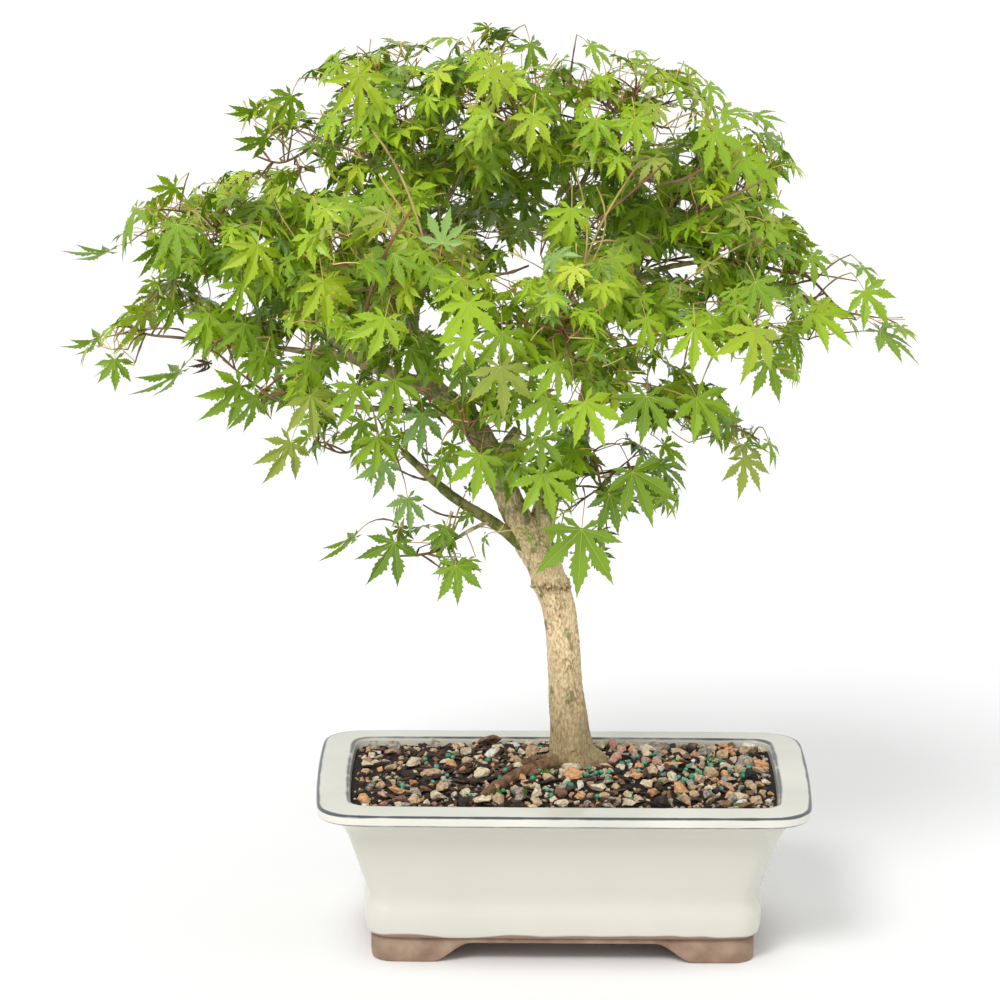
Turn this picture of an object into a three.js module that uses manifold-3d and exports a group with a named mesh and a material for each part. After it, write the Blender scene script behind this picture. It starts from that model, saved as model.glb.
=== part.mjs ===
// A maple bonsai in its glazed pot, built from named sizes in millimetres with +Z up.
// The plant is worked out in the pot's own frame: x = 0, y = 0 is the middle of the pot, z = 0 the floor.
import * as THREE from 'three';
import { mergeVertices } from 'three/addons/utils/BufferGeometryUtils.js';
import Module from 'manifold-3d';

const wasm = await Module();
wasm.setup();

// Pot sizes
const POT_LENGTH = 305;
const POT_DEPTH = 186;
const RIM_TOP = 105;
const RIM_CORNER = 24;
const BASE_CORNER = 16;
const OPENING_CORNER = 11;
const LONG_SIDE_BOW = 0.8;
const SHORT_SIDE_BOW = 1.6;
const OPENING_INSET = 21.2;
const CORNER_STEPS = 4;
const SIDE_STEPS = 4;

// Pot wall from the underside up the outside, over the rim and down the inside:
// height, how far in from the rim at the ends, how far in at the front and back, corner radius
const POT_WALL = [
  [16, 31.6, 28.6, BASE_CORNER],
  [19, 30.4, 27.4, BASE_CORNER],
  [28, 29.2, 26.2, BASE_CORNER],
  [34, 29.8, 26.8, BASE_CORNER],
  [37, 31.6, 28.6, BASE_CORNER],
  [42, 31.6, 28.6, BASE_CORNER],
  [52, 28.2, 25.6, BASE_CORNER],
  [72, 22.2, 20.4, BASE_CORNER],
  [86, 17.8, 16.8, BASE_CORNER],
  [91, 13.2, 12.6, 19],
  [96.4, 5.6, 5.6, 22],
  [97.4, 0.8, 0.8, RIM_CORNER],
  [103, 0, 0, RIM_CORNER],
  [104, 1.2, 1.2, RIM_CORNER],
  [RIM_TOP, 18.6, 18.6, 13],
  [104.4, 20.6, 20.6, OPENING_CORNER],
  [98, 21.2, 21.2, OPENING_CORNER],
  [88, 25.4, 24.6, OPENING_CORNER],
  [60, 34.2, 32.2, OPENING_CORNER],
  [34, 39.4, 37.2, OPENING_CORNER],
  [25, 42, 40, OPENING_CORNER],
];

// Feet sizes
const FOOT_HEIGHT = 16;
const FOOT_INSET_END = 33.8;
const FOOT_INSET_FRONT = 31;
const FOOT_THICKNESS = 16;
const FOOT_CORNER = 14;
const ARCH_RISE = 12.5;
const FRONT_ARCH_FLOOR = 82;
const FRONT_ARCH_TOP = 57.5;
const END_ARCH_FLOOR = 34;
const END_ARCH_TOP = 20;
const ARCH_STEPS = 6;

// Soil sizes
const GAP = 0.3;
const SOIL_EDGE = 99.6;
const SOIL_SHOULDER = 103.4;
const SOIL_CROWN = 106.8;
const SOIL_CROWN_HALF = [58, 34];
const SOIL_SHOULDER_HALF = [92, 52];

// Trunk: stations from under its flat cut on the soil up to the fork, each with x, y, z and radius
const TRUNK_FOOT = SOIL_CROWN + GAP;
const TRUNK_MIDDLE = [7, 16];
const TRUNK = [
  [9, 16, TRUNK_FOOT - 7, 21],
  [7, 16, TRUNK_FOOT, 18],
  [5.4, 16, 113, 15],
  [4, 15, 127, 12.7],
  [1, 14, 158, 11.6],
  [-1, 13, 187, 10.2],
  [-4, 12, 209, 10.3],
  [-9, 11, 224, 10.9],
  [-14, 10, 239, 10.8],
  [-21, 9, 252, 11.4],
];
const TRUNK_SIDES = 12;
const FLARE_RIDGES = 5;
const FLARE_DEPTH = 0.13;
const FLARE_FADE = 16;
const FLARE_TURN = 0.6;
const CUT_BLOCK = 100;

// Boughs in growing order: what each grows from and how far along it, the bends, the tip and two radii
const BOUGHS = [
  ['left_bough', 'trunk', 0.93, [[-30, 6, 268], [-43, 3, 298], [-58, 0, 330]], [-84, -2, 353], 9.2, 6.2],
  ['right_bough', 'trunk', 0.95, [[-11, 14, 276], [3, 17, 301], [15, 16, 353]], [20, 13, 412], 7.4, 4],
  ['green_bough', 'trunk', 0.9, [[-42, 0, 264], [-68, -12, 284], [-86, -17, 301]], [-100, -22, 316], 4.4, 2.4],
  ['upper_leader', 'left_bough', 0.97, [[-95, 6, 383], [-89, 10, 437]], [-90, 8, 484], 5.4, 2.6],
  ['left_limb', 'left_bough', 0.96, [[-110, -4, 362]], [-139, -5, 375], 5, 3.8],
  ['shoulder_left_bough', 'upper_leader', 0.45, [[-124, 12, 462]], [-146, 14, 490], 2.6, 1.7],
  ['top_centre_bough', 'upper_leader', 0.66, [[-68, 12, 478]], [-54, 11, 503], 2.5, 1.7],
  ['front_left_bough', 'upper_leader', 0.2, [[-101, -26, 404]], [-106, -54, 421], 2.8, 1.9],
  ['back_centre_bough', 'upper_leader', 0.4, [[-80, 42, 414]], [-70, 70, 421], 2.6, 1.8],
  ['left_upper_bough', 'left_limb', 0.9, [[-160, -2, 396]], [-180, 2, 423], 2.9, 1.9],
  ['left_outer_bough', 'left_limb', 0.86, [[-176, -6, 377]], [-232, -3, 382], 3, 1.7],
  ['back_left_bough', 'left_limb', 0.5, [[-130, 34, 371]], [-144, 62, 377], 2.8, 1.8],
  ['left_low_bough', 'left_bough', 0.78, [[-110, -14, 341]], [-160, -22, 346], 2.8, 1.8],
  ['inner_front_bough', 'left_bough', 0.56, [[-53, -16, 312]], [-57, -33, 322], 2.6, 1.8],
  ['low_left_bough', 'green_bough', 0.38, [[-60, -18, 265]], [-72, -24, 259], 2, 1.4],
  ['right_leader', 'right_bough', 0.98, [[46, 11, 437]], [64, 9, 462], 3.4, 2.1],
  ['centre_leader', 'right_bough', 0.8, [[-4, 22, 422], [-2, 16, 455]], [12, 7, 486], 3.2, 2],
  ['front_centre_bough', 'right_bough', 0.68, [[7, -22, 384]], [0, -54, 397], 2.7, 1.8],
  ['right_outer_bough', 'right_bough', 0.96, [[57, 4, 426], [100, 0, 432]], [132, -2, 426], 2.8, 1.6],
  ['right_low_bough', 'right_bough', 0.66, [[42, 2, 378]], [58, -6, 384], 2.6, 1.8],
  ['right_skirt_bough', 'right_bough', 0.56, [[38, 6, 344]], [56, -1, 340], 2.6, 1.8],
  ['centre_low_bough', 'right_bough', 0.32, [[8, 3, 306]], [13, -9, 308], 2.4, 1.6],
  ['back_right_bough', 'right_bough', 0.82, [[30, 44, 396]], [38, 66, 401], 2.8, 1.9],
];
const BOUGH_SIDES = 6;
const THIN_BOUGH_SIDES = 5;
const THIN_BOUGH = 3.5;
const BOUGH_STEP = 22;
const START_SWELL = 1.25;

// Roots that run over the soil from the trunk: the way each goes in x and y, and two radii
const ROOTS = [
  ['surface_root_front', [[4, 14], [-14, -4], [-38, -30], [-58, -60]], 5.2, 2.4],
  ['surface_root_left', [[4, 18], [-16, 12], [-32, -2], [-46, -16]], 3.6, 1.8],
  ['surface_root_right', [[8, 14], [20, -2], [30, -12]], 3.4, 1.8],
];
const ROOT_STEP = 9;
const ROOT_REST = 0.65;

// Masses of foliage: the bough that carries each, the middle, the half sizes, how many twigs, and the seed
const MASSES = [
  ['crown_top_left', 'upper_leader', [-116, -6, 522], [68, 88, 56], 7, 55],
  ['crown_top_centre', 'top_centre_bough', [-44, -8, 530], [62, 96, 56], 7, 26],
  ['crown_top_right', 'centre_leader', [32, -8, 518], [66, 92, 58], 7, 26],
  ['shoulder_right', 'right_leader', [98, 0, 466], [62, 90, 56], 7, 37],
  ['right_outer', 'right_outer_bough', [168, 0, 402], [63, 68, 46], 6, 54],
  ['right_low', 'right_low_bough', [98, -32, 392], [62, 84, 52], 6, 27],
  ['right_skirt', 'right_skirt_bough', [92, -8, 330], [56, 68, 46], 5, 23],
  ['centre_front', 'front_centre_bough', [-4, -98, 410], [68, 78, 70], 6, 13],
  ['centre_low', 'centre_low_bough', [24, -28, 288], [55, 68, 52], 5, 46],
  ['shoulder_left', 'shoulder_left_bough', [-176, 8, 490], [54, 78, 43], 6, 44],
  ['left_upper', 'left_upper_bough', [-214, 2, 448], [72, 90, 54], 6, 32],
  ['left_outer', 'left_outer_bough', [-258, 0, 384], [58, 68, 46], 6, 36],
  ['left_low', 'left_low_bough', [-196, -30, 364], [64, 82, 46], 6, 43],
  ['left_skirt', 'green_bough', [-136, -42, 320], [56, 64, 43], 5, 50],
  ['low_left', 'low_left_bough', [-102, -30, 252], [64, 60, 38], 5, 13],
  ['front_left', 'front_left_bough', [-112, -98, 438], [72, 78, 68], 5, 24],
  ['inner_front', 'inner_front_bough', [-62, -76, 342], [50, 54, 54], 5, 43],
  ['back_left', 'back_left_bough', [-160, 100, 396], [80, 80, 76], 5, 17],
  ['back_centre', 'back_centre_bough', [-58, 100, 450], [74, 80, 78], 5, 50],
  ['back_right', 'back_right_bough', [54, 100, 412], [82, 80, 76], 5, 34],
];
const CELL_MARGIN = 0.6;
const CELL_FLATNESS = 1.25;
const MASS_TURN = 1.3;

// Twigs of a mass
const TWIG_SIDES = 3;
const STEM_RADIUS = 2.4;
const STEM_END_RADIUS = 1.5;
const STEM_STEPS = 4;
const STEM_STRAIGHT = 0.35;
const STEM_PAST_MIDDLE = 16;
const STEM_RISE = 5;
const TWIG_RADIUS = 1.05;
const TWIG_TIP_RADIUS = 0.85;
const TWIG_PAST_LEAF = 1.2;
const TWIG_PLACES = [0.3, 0.92];
const PLACE_JITTER = 0.05;
const TWIG_REACH = 0.85;
const REACH_TRIES = [1, 0.9, 0.8, 0.7, 0.6, 0.5, 0.4, 0.3];
const GOLDEN_ANGLE = Math.PI * (3 - Math.sqrt(5));

// Leaves: pairs along a twig, sizes, and how they face and hang (angles in radians)
const PAIR_PLACES = [0.7, 0.32];
const PAIR_TURN = 1.2;
const PAIR_TURN_STEP = 0.3;
const PAIR_STAGGER = 2.5;
const LEAF_TRIES = 16;
const FUSE_TOLERANCE = 0.02;
const LEAF_STALK = 13;
const STALK_SINK = 0.3;
const STALK_LIFT = 0.25;
const LEAF_THICKNESS = 1.3;
const LEAF_CLEARANCE = 0.8;
const LEAF_SPACING = 19;
const LEAF_CURL = 0.006;
const LEAF_SCALE = [1.3, 1.5];
const LEAF_SHRINK = 0.975;
const YAW_SPREAD = 0.8;
const YAW_SPREAD_STEP = 0.2;
const DROOP_LOW = 0.9;
const DROOP_TOP = 0.3;
const DROOP_SPREAD = 0.4;
const DROOP_SPREAD_STEP = 0.08;
const ROLL_SPREAD = 0.8;
const HIGH_START = 470;
const HIGH_RANGE = 100;

// Lobes of a leaf: the angle from the midrib in degrees and how far the edge is from the palm
const LEAF_EDGE = [
  [-150, 3.5],
  [-86, 20],
  [-62, 9.5],
  [-40, 28],
  [-19, 11],
  [0, 32],
  [19, 11],
  [40, 28],
  [62, 9.5],
  [86, 20],
  [150, 3.5],
];

const COLORS = {
  glaze: 0xe9ece2,
  clay: 0x8d746a,
  soil: 0x6f5a48,
  bark: 0xb6a283,
  greenBark: 0x7d8553,
  leaf: 0x6f9c33,
};

const UP = new THREE.Vector3(0, 0, 1);
const CROWN_MIDDLE = new THREE.Vector3(-40, 0, 400);

// A seeded run of numbers from 0 to 1
function seededRandom(seed) {
  let state = (seed * 2654435761) >>> 0;
  return () => {
    state = (Math.imul(state, 1664525) + 1013904223) >>> 0;
    return state / 4294967296;
  };
}

function vector(point) {
  return new THREE.Vector3(point[0], point[1], point[2]);
}

function toSolid(geometry) {
  const plain = geometry.clone();
  plain.deleteAttribute('normal');
  plain.deleteAttribute('uv');
  const merged = mergeVertices(plain, 1e-4);
  const vertProperties = new Float32Array(merged.attributes.position.array);
  const triVerts = new Uint32Array(merged.index.array);
  return new wasm.Manifold(new wasm.Mesh({ numProp: 3, vertProperties, triVerts }));
}

function toGeometry(solid) {
  const mesh = solid.getMesh();
  const geometry = new THREE.BufferGeometry();
  geometry.setAttribute('position', new THREE.BufferAttribute(new Float32Array(mesh.vertProperties), 3));
  geometry.setIndex(new THREE.BufferAttribute(new Uint32Array(mesh.triVerts), 1));
  return geometry;
}

// The largest of the bodies in a solid: scraps and hollows sealed by fusing are dropped
function largestBody(solid) {
  const bodies = solid.decompose();
  bodies.sort((a, b) => b.volume() - a.volume());
  return bodies[0];
}

// A closed skin over rings of points that all have the same count, flat at both ends
function loft(rings) {
  const count = rings[0].length;
  const positions = rings.flat().flatMap((p) => [p.x, p.y, p.z]);
  const index = [];
  for (let r = 0; r + 1 < rings.length; r += 1) {
    for (let i = 0; i < count; i += 1) {
      const a = r * count + i;
      const b = r * count + ((i + 1) % count);
      index.push(a, b, b + count, a, b + count, a + count);
    }
  }
  const last = (rings.length - 1) * count;
  for (let i = 1; i + 1 < count; i += 1) {
    index.push(0, i + 1, i);
    index.push(last, last + i, last + i + 1);
  }
  const geometry = new THREE.BufferGeometry();
  geometry.setAttribute('position', new THREE.Float32BufferAttribute(positions, 3));
  geometry.setIndex(index);
  return geometry;
}

// A round skin along points with a radius at each, its rings turned as little as possible
function rod(points, radii, sides, shape = () => 1) {
  const tangents = points.map((p, i) => {
    const before = points[Math.max(i - 1, 0)];
    const after = points[Math.min(i + 1, points.length - 1)];
    return after.clone().sub(before).normalize();
  });
  const side = new THREE.Vector3(1, 0, 0);
  if (Math.abs(tangents[0].x) > 0.9) side.set(0, 1, 0);
  const rings = points.map((p, i) => {
    side.addScaledVector(tangents[i], -side.dot(tangents[i])).normalize();
    const other = tangents[i].clone().cross(side);
    return Array.from({ length: sides }, (unused, k) => {
      const angle = (2 * Math.PI * k) / sides;
      const radius = radii[i] * shape(i, angle);
      return p.clone()
        .addScaledVector(side, radius * Math.cos(angle))
        .addScaledVector(other, radius * Math.sin(angle));
    });
  });
  return loft(rings);
}

// A rounded rectangle whose sides bow out a little
function potRing(insetEnd, insetFront, corner, z) {
  const halfX = POT_LENGTH / 2 - insetEnd;
  const halfY = POT_DEPTH / 2 - insetFront;
  const ring = [];
  const corners = [[1, 1], [-1, 1], [-1, -1], [1, -1]];
  corners.forEach(([sx, sy], quarter) => {
    const centreX = sx * (halfX - corner);
    const centreY = sy * (halfY - corner);
    for (let k = 0; k <= CORNER_STEPS; k += 1) {
      const angle = (quarter + k / CORNER_STEPS) * Math.PI / 2;
      ring.push([centreX + corner * Math.cos(angle), centreY + corner * Math.sin(angle)]);
    }
    const alongX = quarter % 2 === 0;
    const run = alongX ? halfX - corner : halfY - corner;
    const bow = alongX ? LONG_SIDE_BOW : SHORT_SIDE_BOW;
    for (let k = 1; k < SIDE_STEPS; k += 1) {
      const t = 1 - (2 * k) / SIDE_STEPS;
      const out = bow * (1 - t * t);
      if (alongX) ring.push([sx * run * t, sy * (halfY + out)]);
      else ring.push([sx * (halfX + out), sy * run * t]);
    }
  });
  return ring.map(([x, y]) => new THREE.Vector3(x, y, z));
}

function makePot() {
  return loft(POT_WALL.map(([z, insetEnd, insetFront, corner]) => potRing(insetEnd, insetFront, corner, z)));
}

// A run of extruded air under the pot, wide at the floor and curving in to the arch's top
function archCutter(floorHalf, topHalf, reach) {
  const shape = new THREE.Shape();
  const low = -1;
  const high = FOOT_HEIGHT + 1;
  shape.moveTo(-floorHalf, low);
  shape.lineTo(floorHalf, low);
  shape.lineTo(floorHalf, 0);
  const bend = (floorHalf - topHalf) / 2;
  shape.bezierCurveTo(floorHalf - bend, 0.5, topHalf + bend, ARCH_RISE - 0.5, topHalf, ARCH_RISE);
  shape.lineTo(topHalf, high);
  shape.lineTo(-topHalf, high);
  shape.lineTo(-topHalf, ARCH_RISE);
  shape.bezierCurveTo(-topHalf - bend, ARCH_RISE - 0.5, -floorHalf + bend, 0.5, -floorHalf, 0);
  shape.closePath();
  const settings = { depth: 2 * reach, bevelEnabled: false, curveSegments: ARCH_STEPS };
  const geometry = new THREE.ExtrudeGeometry(shape, settings);
  geometry.translate(0, 0, -reach);
  geometry.rotateX(Math.PI / 2);
  return geometry;
}

function prism(inset, corner, low, high) {
  const ringAt = (z) => potRing(FOOT_INSET_END + inset, FOOT_INSET_FRONT + inset, corner, z);
  return toSolid(loft([ringAt(low), ringAt(high)]));
}

function makeFeet() {
  const outside = prism(0, FOOT_CORNER, 0, FOOT_HEIGHT);
  const inside = prism(FOOT_THICKNESS, 4, -1, FOOT_HEIGHT + 1);
  const frontArch = toSolid(archCutter(FRONT_ARCH_FLOOR, FRONT_ARCH_TOP, POT_DEPTH));
  const endArch = toSolid(archCutter(END_ARCH_FLOOR, END_ARCH_TOP, POT_LENGTH).rotateZ(Math.PI / 2));
  const ring = outside.subtract(inside).subtract(frontArch).subtract(endArch);
  return ring.decompose().map((solid) => {
    const geometry = toGeometry(solid);
    geometry.computeBoundingBox();
    const middle = geometry.boundingBox.getCenter(new THREE.Vector3());
    const row = middle.y < 0 ? 'front' : 'back';
    const end = middle.x < 0 ? 'left' : 'right';
    return { name: `foot_${row}_${end}`, geometry };
  });
}

// Points of a pot ring drawn in to an oval round the trunk's foot
function soilRing(halfSizes, z) {
  const edge = potRing(OPENING_INSET, OPENING_INSET, OPENING_CORNER, z);
  return edge.map((p) => {
    const angle = Math.atan2(p.y / (POT_DEPTH / 2), p.x / (POT_LENGTH / 2));
    const x = TRUNK_MIDDLE[0] + halfSizes[0] * Math.cos(angle);
    const y = TRUNK_MIDDLE[1] / 2 + halfSizes[1] * Math.sin(angle);
    return new THREE.Vector3(x, y, z);
  });
}

function makeSoil() {
  const inner = POT_WALL.slice(-5).reverse();
  const rings = inner.map(([z, insetEnd, insetFront, corner], i) => {
    const lift = i === 0 ? GAP : 0;
    return potRing(insetEnd + GAP, insetFront + GAP, corner, z + lift);
  });
  rings.push(potRing(OPENING_INSET + GAP, OPENING_INSET + GAP, OPENING_CORNER, SOIL_EDGE));
  rings.push(soilRing(SOIL_SHOULDER_HALF, SOIL_SHOULDER));
  rings.push(soilRing(SOIL_CROWN_HALF, SOIL_CROWN));
  return loft(rings);
}

// A limb: its middle line, the radius along it, its solid and one grown by the gap for cutting others
function makeLimb(name, points, radii, sides, shape) {
  const grownPoints = points.map((p) => p.clone());
  const first = points[0].clone().sub(points[1]).normalize();
  const last = points[points.length - 1].clone().sub(points[points.length - 2]).normalize();
  grownPoints[0].addScaledVector(first, GAP);
  grownPoints[grownPoints.length - 1].addScaledVector(last, GAP);
  const grownRadii = radii.map((r) => r + GAP / Math.cos(Math.PI / sides));
  return {
    name,
    points,
    radii,
    tipDirection: last,
    solid: toSolid(rod(points, radii, sides, shape)),
    grown: toSolid(rod(grownPoints, grownRadii, sides, shape)),
  };
}

function pointAlong(limb, part) {
  const curve = new THREE.CatmullRomCurve3(limb.points, false, 'centripetal');
  return curve.getPointAt(part);
}

function makeTrunk() {
  const points = TRUNK.map(vector);
  const radii = TRUNK.map((station) => station[3]);
  const shape = (i, angle) => {
    const fade = THREE.MathUtils.clamp(1 - (TRUNK[i][2] - TRUNK_FOOT) / FLARE_FADE, 0, 1);
    return 1 + FLARE_DEPTH * fade * Math.cos(FLARE_RIDGES * angle + FLARE_TURN);
  };
  const trunk = makeLimb('trunk', points, radii, TRUNK_SIDES, shape);
  const below = new THREE.BoxGeometry(CUT_BLOCK, CUT_BLOCK, CUT_BLOCK);
  below.translate(points[0].x, points[0].y, TRUNK_FOOT - CUT_BLOCK / 2);
  trunk.solid = trunk.solid.subtract(toSolid(below));
  return trunk;
}

function makeBough(limbs, [name, parentName, part, bends, tip, startRadius, tipRadius]) {
  const start = pointAlong(limbs.get(parentName), part);
  const curve = new THREE.CatmullRomCurve3([start, ...bends.map(vector), vector(tip)], false, 'centripetal');
  const steps = Math.max(3, Math.round(curve.getLength() / BOUGH_STEP));
  const points = curve.getSpacedPoints(steps);
  const radii = points.map((p, i) => {
    const t = i / steps;
    const swell = 1 + (START_SWELL - 1) * Math.max(0, 1 - 4 * t);
    return THREE.MathUtils.lerp(startRadius, tipRadius, t) * swell;
  });
  return makeLimb(name, points, radii, startRadius < THIN_BOUGH ? THIN_BOUGH_SIDES : BOUGH_SIDES);
}

// A root lies on the soil all along its way
function makeRoot([name, way, startRadius, endRadius], soilMesh) {
  const flat = new THREE.CatmullRomCurve3(way.map(([x, y]) => new THREE.Vector3(x, y, 0)));
  const steps = Math.round(flat.getLength() / ROOT_STEP);
  const caster = new THREE.Raycaster();
  const points = flat.getSpacedPoints(steps);
  const radii = points.map((p, i) => THREE.MathUtils.lerp(startRadius, endRadius, i / steps));
  points.forEach((p, i) => {
    caster.set(new THREE.Vector3(p.x, p.y, 2 * RIM_TOP), UP.clone().negate());
    const hit = caster.intersectObject(soilMesh)[0];
    p.z = hit.point.z + radii[i] + ROOT_REST;
  });
  return makeLimb(name, points, radii, THIN_BOUGH_SIDES);
}

// Each limb gives way to the ones before it and keeps the gap to them
function cutClear(limb, earlier) {
  for (const other of earlier) {
    limb.solid = limb.solid.subtract(other.grown);
  }
  limb.solid = largestBody(limb.solid);
}

function capsules(limb) {
  return limb.points.slice(1).map((end, i) => ({
    start: limb.points[i],
    end,
    radius: Math.max(limb.radii[i], limb.radii[i + 1]),
  }));
}

// The shortest way between two straight runs
function runDistance(p1, q1, p2, q2) {
  const d1 = q1.clone().sub(p1);
  const d2 = q2.clone().sub(p2);
  const r = p1.clone().sub(p2);
  const a = d1.dot(d1);
  const e = d2.dot(d2);
  const f = d2.dot(r);
  const c = d1.dot(r);
  const b = d1.dot(d2);
  const denominator = a * e - b * b;
  let s = denominator > 1e-9 ? THREE.MathUtils.clamp((b * f - c * e) / denominator, 0, 1) : 0;
  let t = (b * s + f) / e;
  if (t < 0 || t > 1) {
    t = THREE.MathUtils.clamp(t, 0, 1);
    s = THREE.MathUtils.clamp((b * t - c) / a, 0, 1);
  }
  return p1.clone().addScaledVector(d1, s).distanceTo(p2.clone().addScaledVector(d2, t));
}

// A mass keeps to its oval and to its own side of the flat border with every other mass
function makeCell(mass, masses) {
  const stretch = new THREE.Vector3(1, 1, CELL_FLATNESS);
  const borders = masses.filter((other) => other !== mass).map((other) => {
    const mine = mass.middle.clone().multiply(stretch);
    const theirs = other.middle.clone().multiply(stretch);
    const normal = theirs.clone().sub(mine).multiplyScalar(2).multiply(stretch);
    const offset = theirs.lengthSq() - mine.lengthSq() - other.size ** 2 + mass.size ** 2;
    const slope = normal.length();
    return { normal: normal.divideScalar(slope), offset: offset / slope };
  });
  return (p) => {
    const q = p.clone().sub(mass.middle).divide(mass.half);
    if (q.lengthSq() > 1) return false;
    return borders.every((border) => border.normal.dot(p) <= border.offset - CELL_MARGIN);
  };
}

// The corners of a leaf: the edge of its blade, its stalk's end sunk in the twig, and the thick of the palm
function leafCorners(root, palm, midrib, normal, scale) {
  const side = normal.clone().cross(midrib);
  const edge = LEAF_EDGE.map(([degrees, distance]) => {
    const angle = THREE.MathUtils.degToRad(degrees);
    const reach = distance * scale;
    return palm.clone()
      .addScaledVector(midrib, reach * Math.cos(angle))
      .addScaledVector(side, reach * Math.sin(angle))
      .addScaledVector(normal, -LEAF_CURL * reach * reach);
  });
  const stalk = palm.clone().sub(root).normalize();
  edge.push(root.clone().addScaledVector(stalk, -STALK_SINK));
  return {
    edge,
    top: palm.clone().addScaledVector(normal, LEAF_THICKNESS / 2),
    bottom: palm.clone().addScaledVector(normal, -LEAF_THICKNESS / 2),
  };
}

function leafGeometry({ edge, top, bottom }) {
  const points = [...edge, top, bottom];
  const [topId, bottomId] = [edge.length, edge.length + 1];
  const index = edge.flatMap((point, i) => {
    const next = (i + 1) % edge.length;
    return [topId, i, next, bottomId, next, i];
  });
  const geometry = new THREE.BufferGeometry();
  const positions = points.flatMap((p) => [p.x, p.y, p.z]);
  geometry.setAttribute('position', new THREE.Float32BufferAttribute(positions, 3));
  geometry.setIndex(index);
  return geometry;
}

// The straight runs and triangles that stand for a leaf when it is tested against what is near it
function leafOutline(corners, palm) {
  const blade = corners.edge.slice(0, LEAF_EDGE.length);
  const runs = blade.filter((point, i) => i % 2 === 1).map((lobeTip) => [palm, lobeTip]);
  const faces = [];
  for (let i = 0; i + 1 < blade.length; i += 1) {
    runs.push([blade[i], blade[i + 1]]);
    faces.push([palm, blade[i], blade[i + 1]]);
  }
  runs.push([palm, corners.edge[LEAF_EDGE.length]]);
  return { palm, runs, faces };
}

// Whether any of the straight runs goes through any of the triangles
function pierces(runs, faces) {
  const ray = new THREE.Ray();
  const hit = new THREE.Vector3();
  return runs.some(([from, to]) => {
    const length = from.distanceTo(to);
    ray.origin.copy(from);
    ray.direction.copy(to).sub(from).divideScalar(length);
    return faces.some(([a, b, c]) => {
      return ray.intersectTriangle(a, b, c, false, hit) !== null && hit.distanceTo(from) < length;
    });
  });
}

function leavesCross(one, other) {
  return pierces(one.runs, other.faces) || pierces(other.runs, one.faces);
}

// The middle line of a mass's stem: on from the bough's tip, through the middle and a little past it
function stemCurve(mass) {
  const { points, tipDirection } = mass.bough;
  const start = points[points.length - 1].clone().addScaledVector(tipDirection, GAP);
  const way = mass.middle.clone().sub(start);
  const bend = start.clone().addScaledVector(tipDirection, STEM_STRAIGHT * way.length());
  const far = mass.middle.clone().addScaledVector(way.normalize(), STEM_PAST_MIDDLE);
  far.z += STEM_RISE;
  return new THREE.CatmullRomCurve3([start, bend, mass.middle, far], false, 'centripetal');
}

// One try at a leaf: it hangs outward from its root, steeper low down in the crown than at the top
function tryLeaf(root, outward, attempt, random) {
  const yaw = (random() - 0.5) * (YAW_SPREAD + YAW_SPREAD_STEP * attempt);
  const high = THREE.MathUtils.clamp((root.z - HIGH_START) / HIGH_RANGE, 0, 1);
  const spread = DROOP_SPREAD + DROOP_SPREAD_STEP * attempt;
  const droop = THREE.MathUtils.lerp(DROOP_LOW, DROOP_TOP, high) + (random() - 0.5) * spread;
  const roll = (random() - 0.5) * ROLL_SPREAD;
  const scale = THREE.MathUtils.lerp(LEAF_SCALE[0], LEAF_SCALE[1], random()) * LEAF_SHRINK ** attempt;
  const level = outward.clone().applyAxisAngle(UP, yaw).setZ(0).normalize();
  const midrib = level.clone().multiplyScalar(Math.cos(droop)).addScaledVector(UP, -Math.sin(droop));
  const normal = level.clone().multiplyScalar(Math.sin(droop)).addScaledVector(UP, Math.cos(droop));
  normal.applyAxisAngle(midrib, roll);
  const stalk = level.clone().addScaledVector(UP, STALK_LIFT * (2 * high - 1)).normalize();
  const palm = root.clone().addScaledVector(stalk, LEAF_STALK);
  const corners = leafCorners(root, palm, midrib, normal, scale);
  return { corners, ...leafOutline(corners, palm) };
}

function leafFits(leaf, growth) {
  const { edge, top, bottom } = leaf.corners;
  return [...edge, top, bottom].every(growth.inside)
    && growth.leaves.every((other) => other.palm.distanceTo(leaf.palm) > LEAF_SPACING)
    && leaf.runs.every(([from, to]) => growth.clear(from, to, 0))
    && !pierces(growth.twigs, leaf.faces)
    && !growth.leaves.some((other) => leavesCross(leaf, other));
}

function addLeaf(root, outward, growth) {
  for (let attempt = 0; attempt < LEAF_TRIES; attempt += 1) {
    const leaf = tryLeaf(root, outward, attempt, growth.random);
    if (leafFits(leaf, growth)) {
      growth.leaves.push(leaf);
      growth.pieces.push(leafGeometry(leaf.corners));
      return true;
    }
  }
  return false;
}

// The way a leaf faces: half along its twig and half away from the middle of the crown
function outwardAt(root, end) {
  const radial = end.clone().sub(CROWN_MIDDLE).setZ(0).normalize();
  return end.clone().sub(root).setZ(0).normalize().add(radial).normalize();
}

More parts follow.
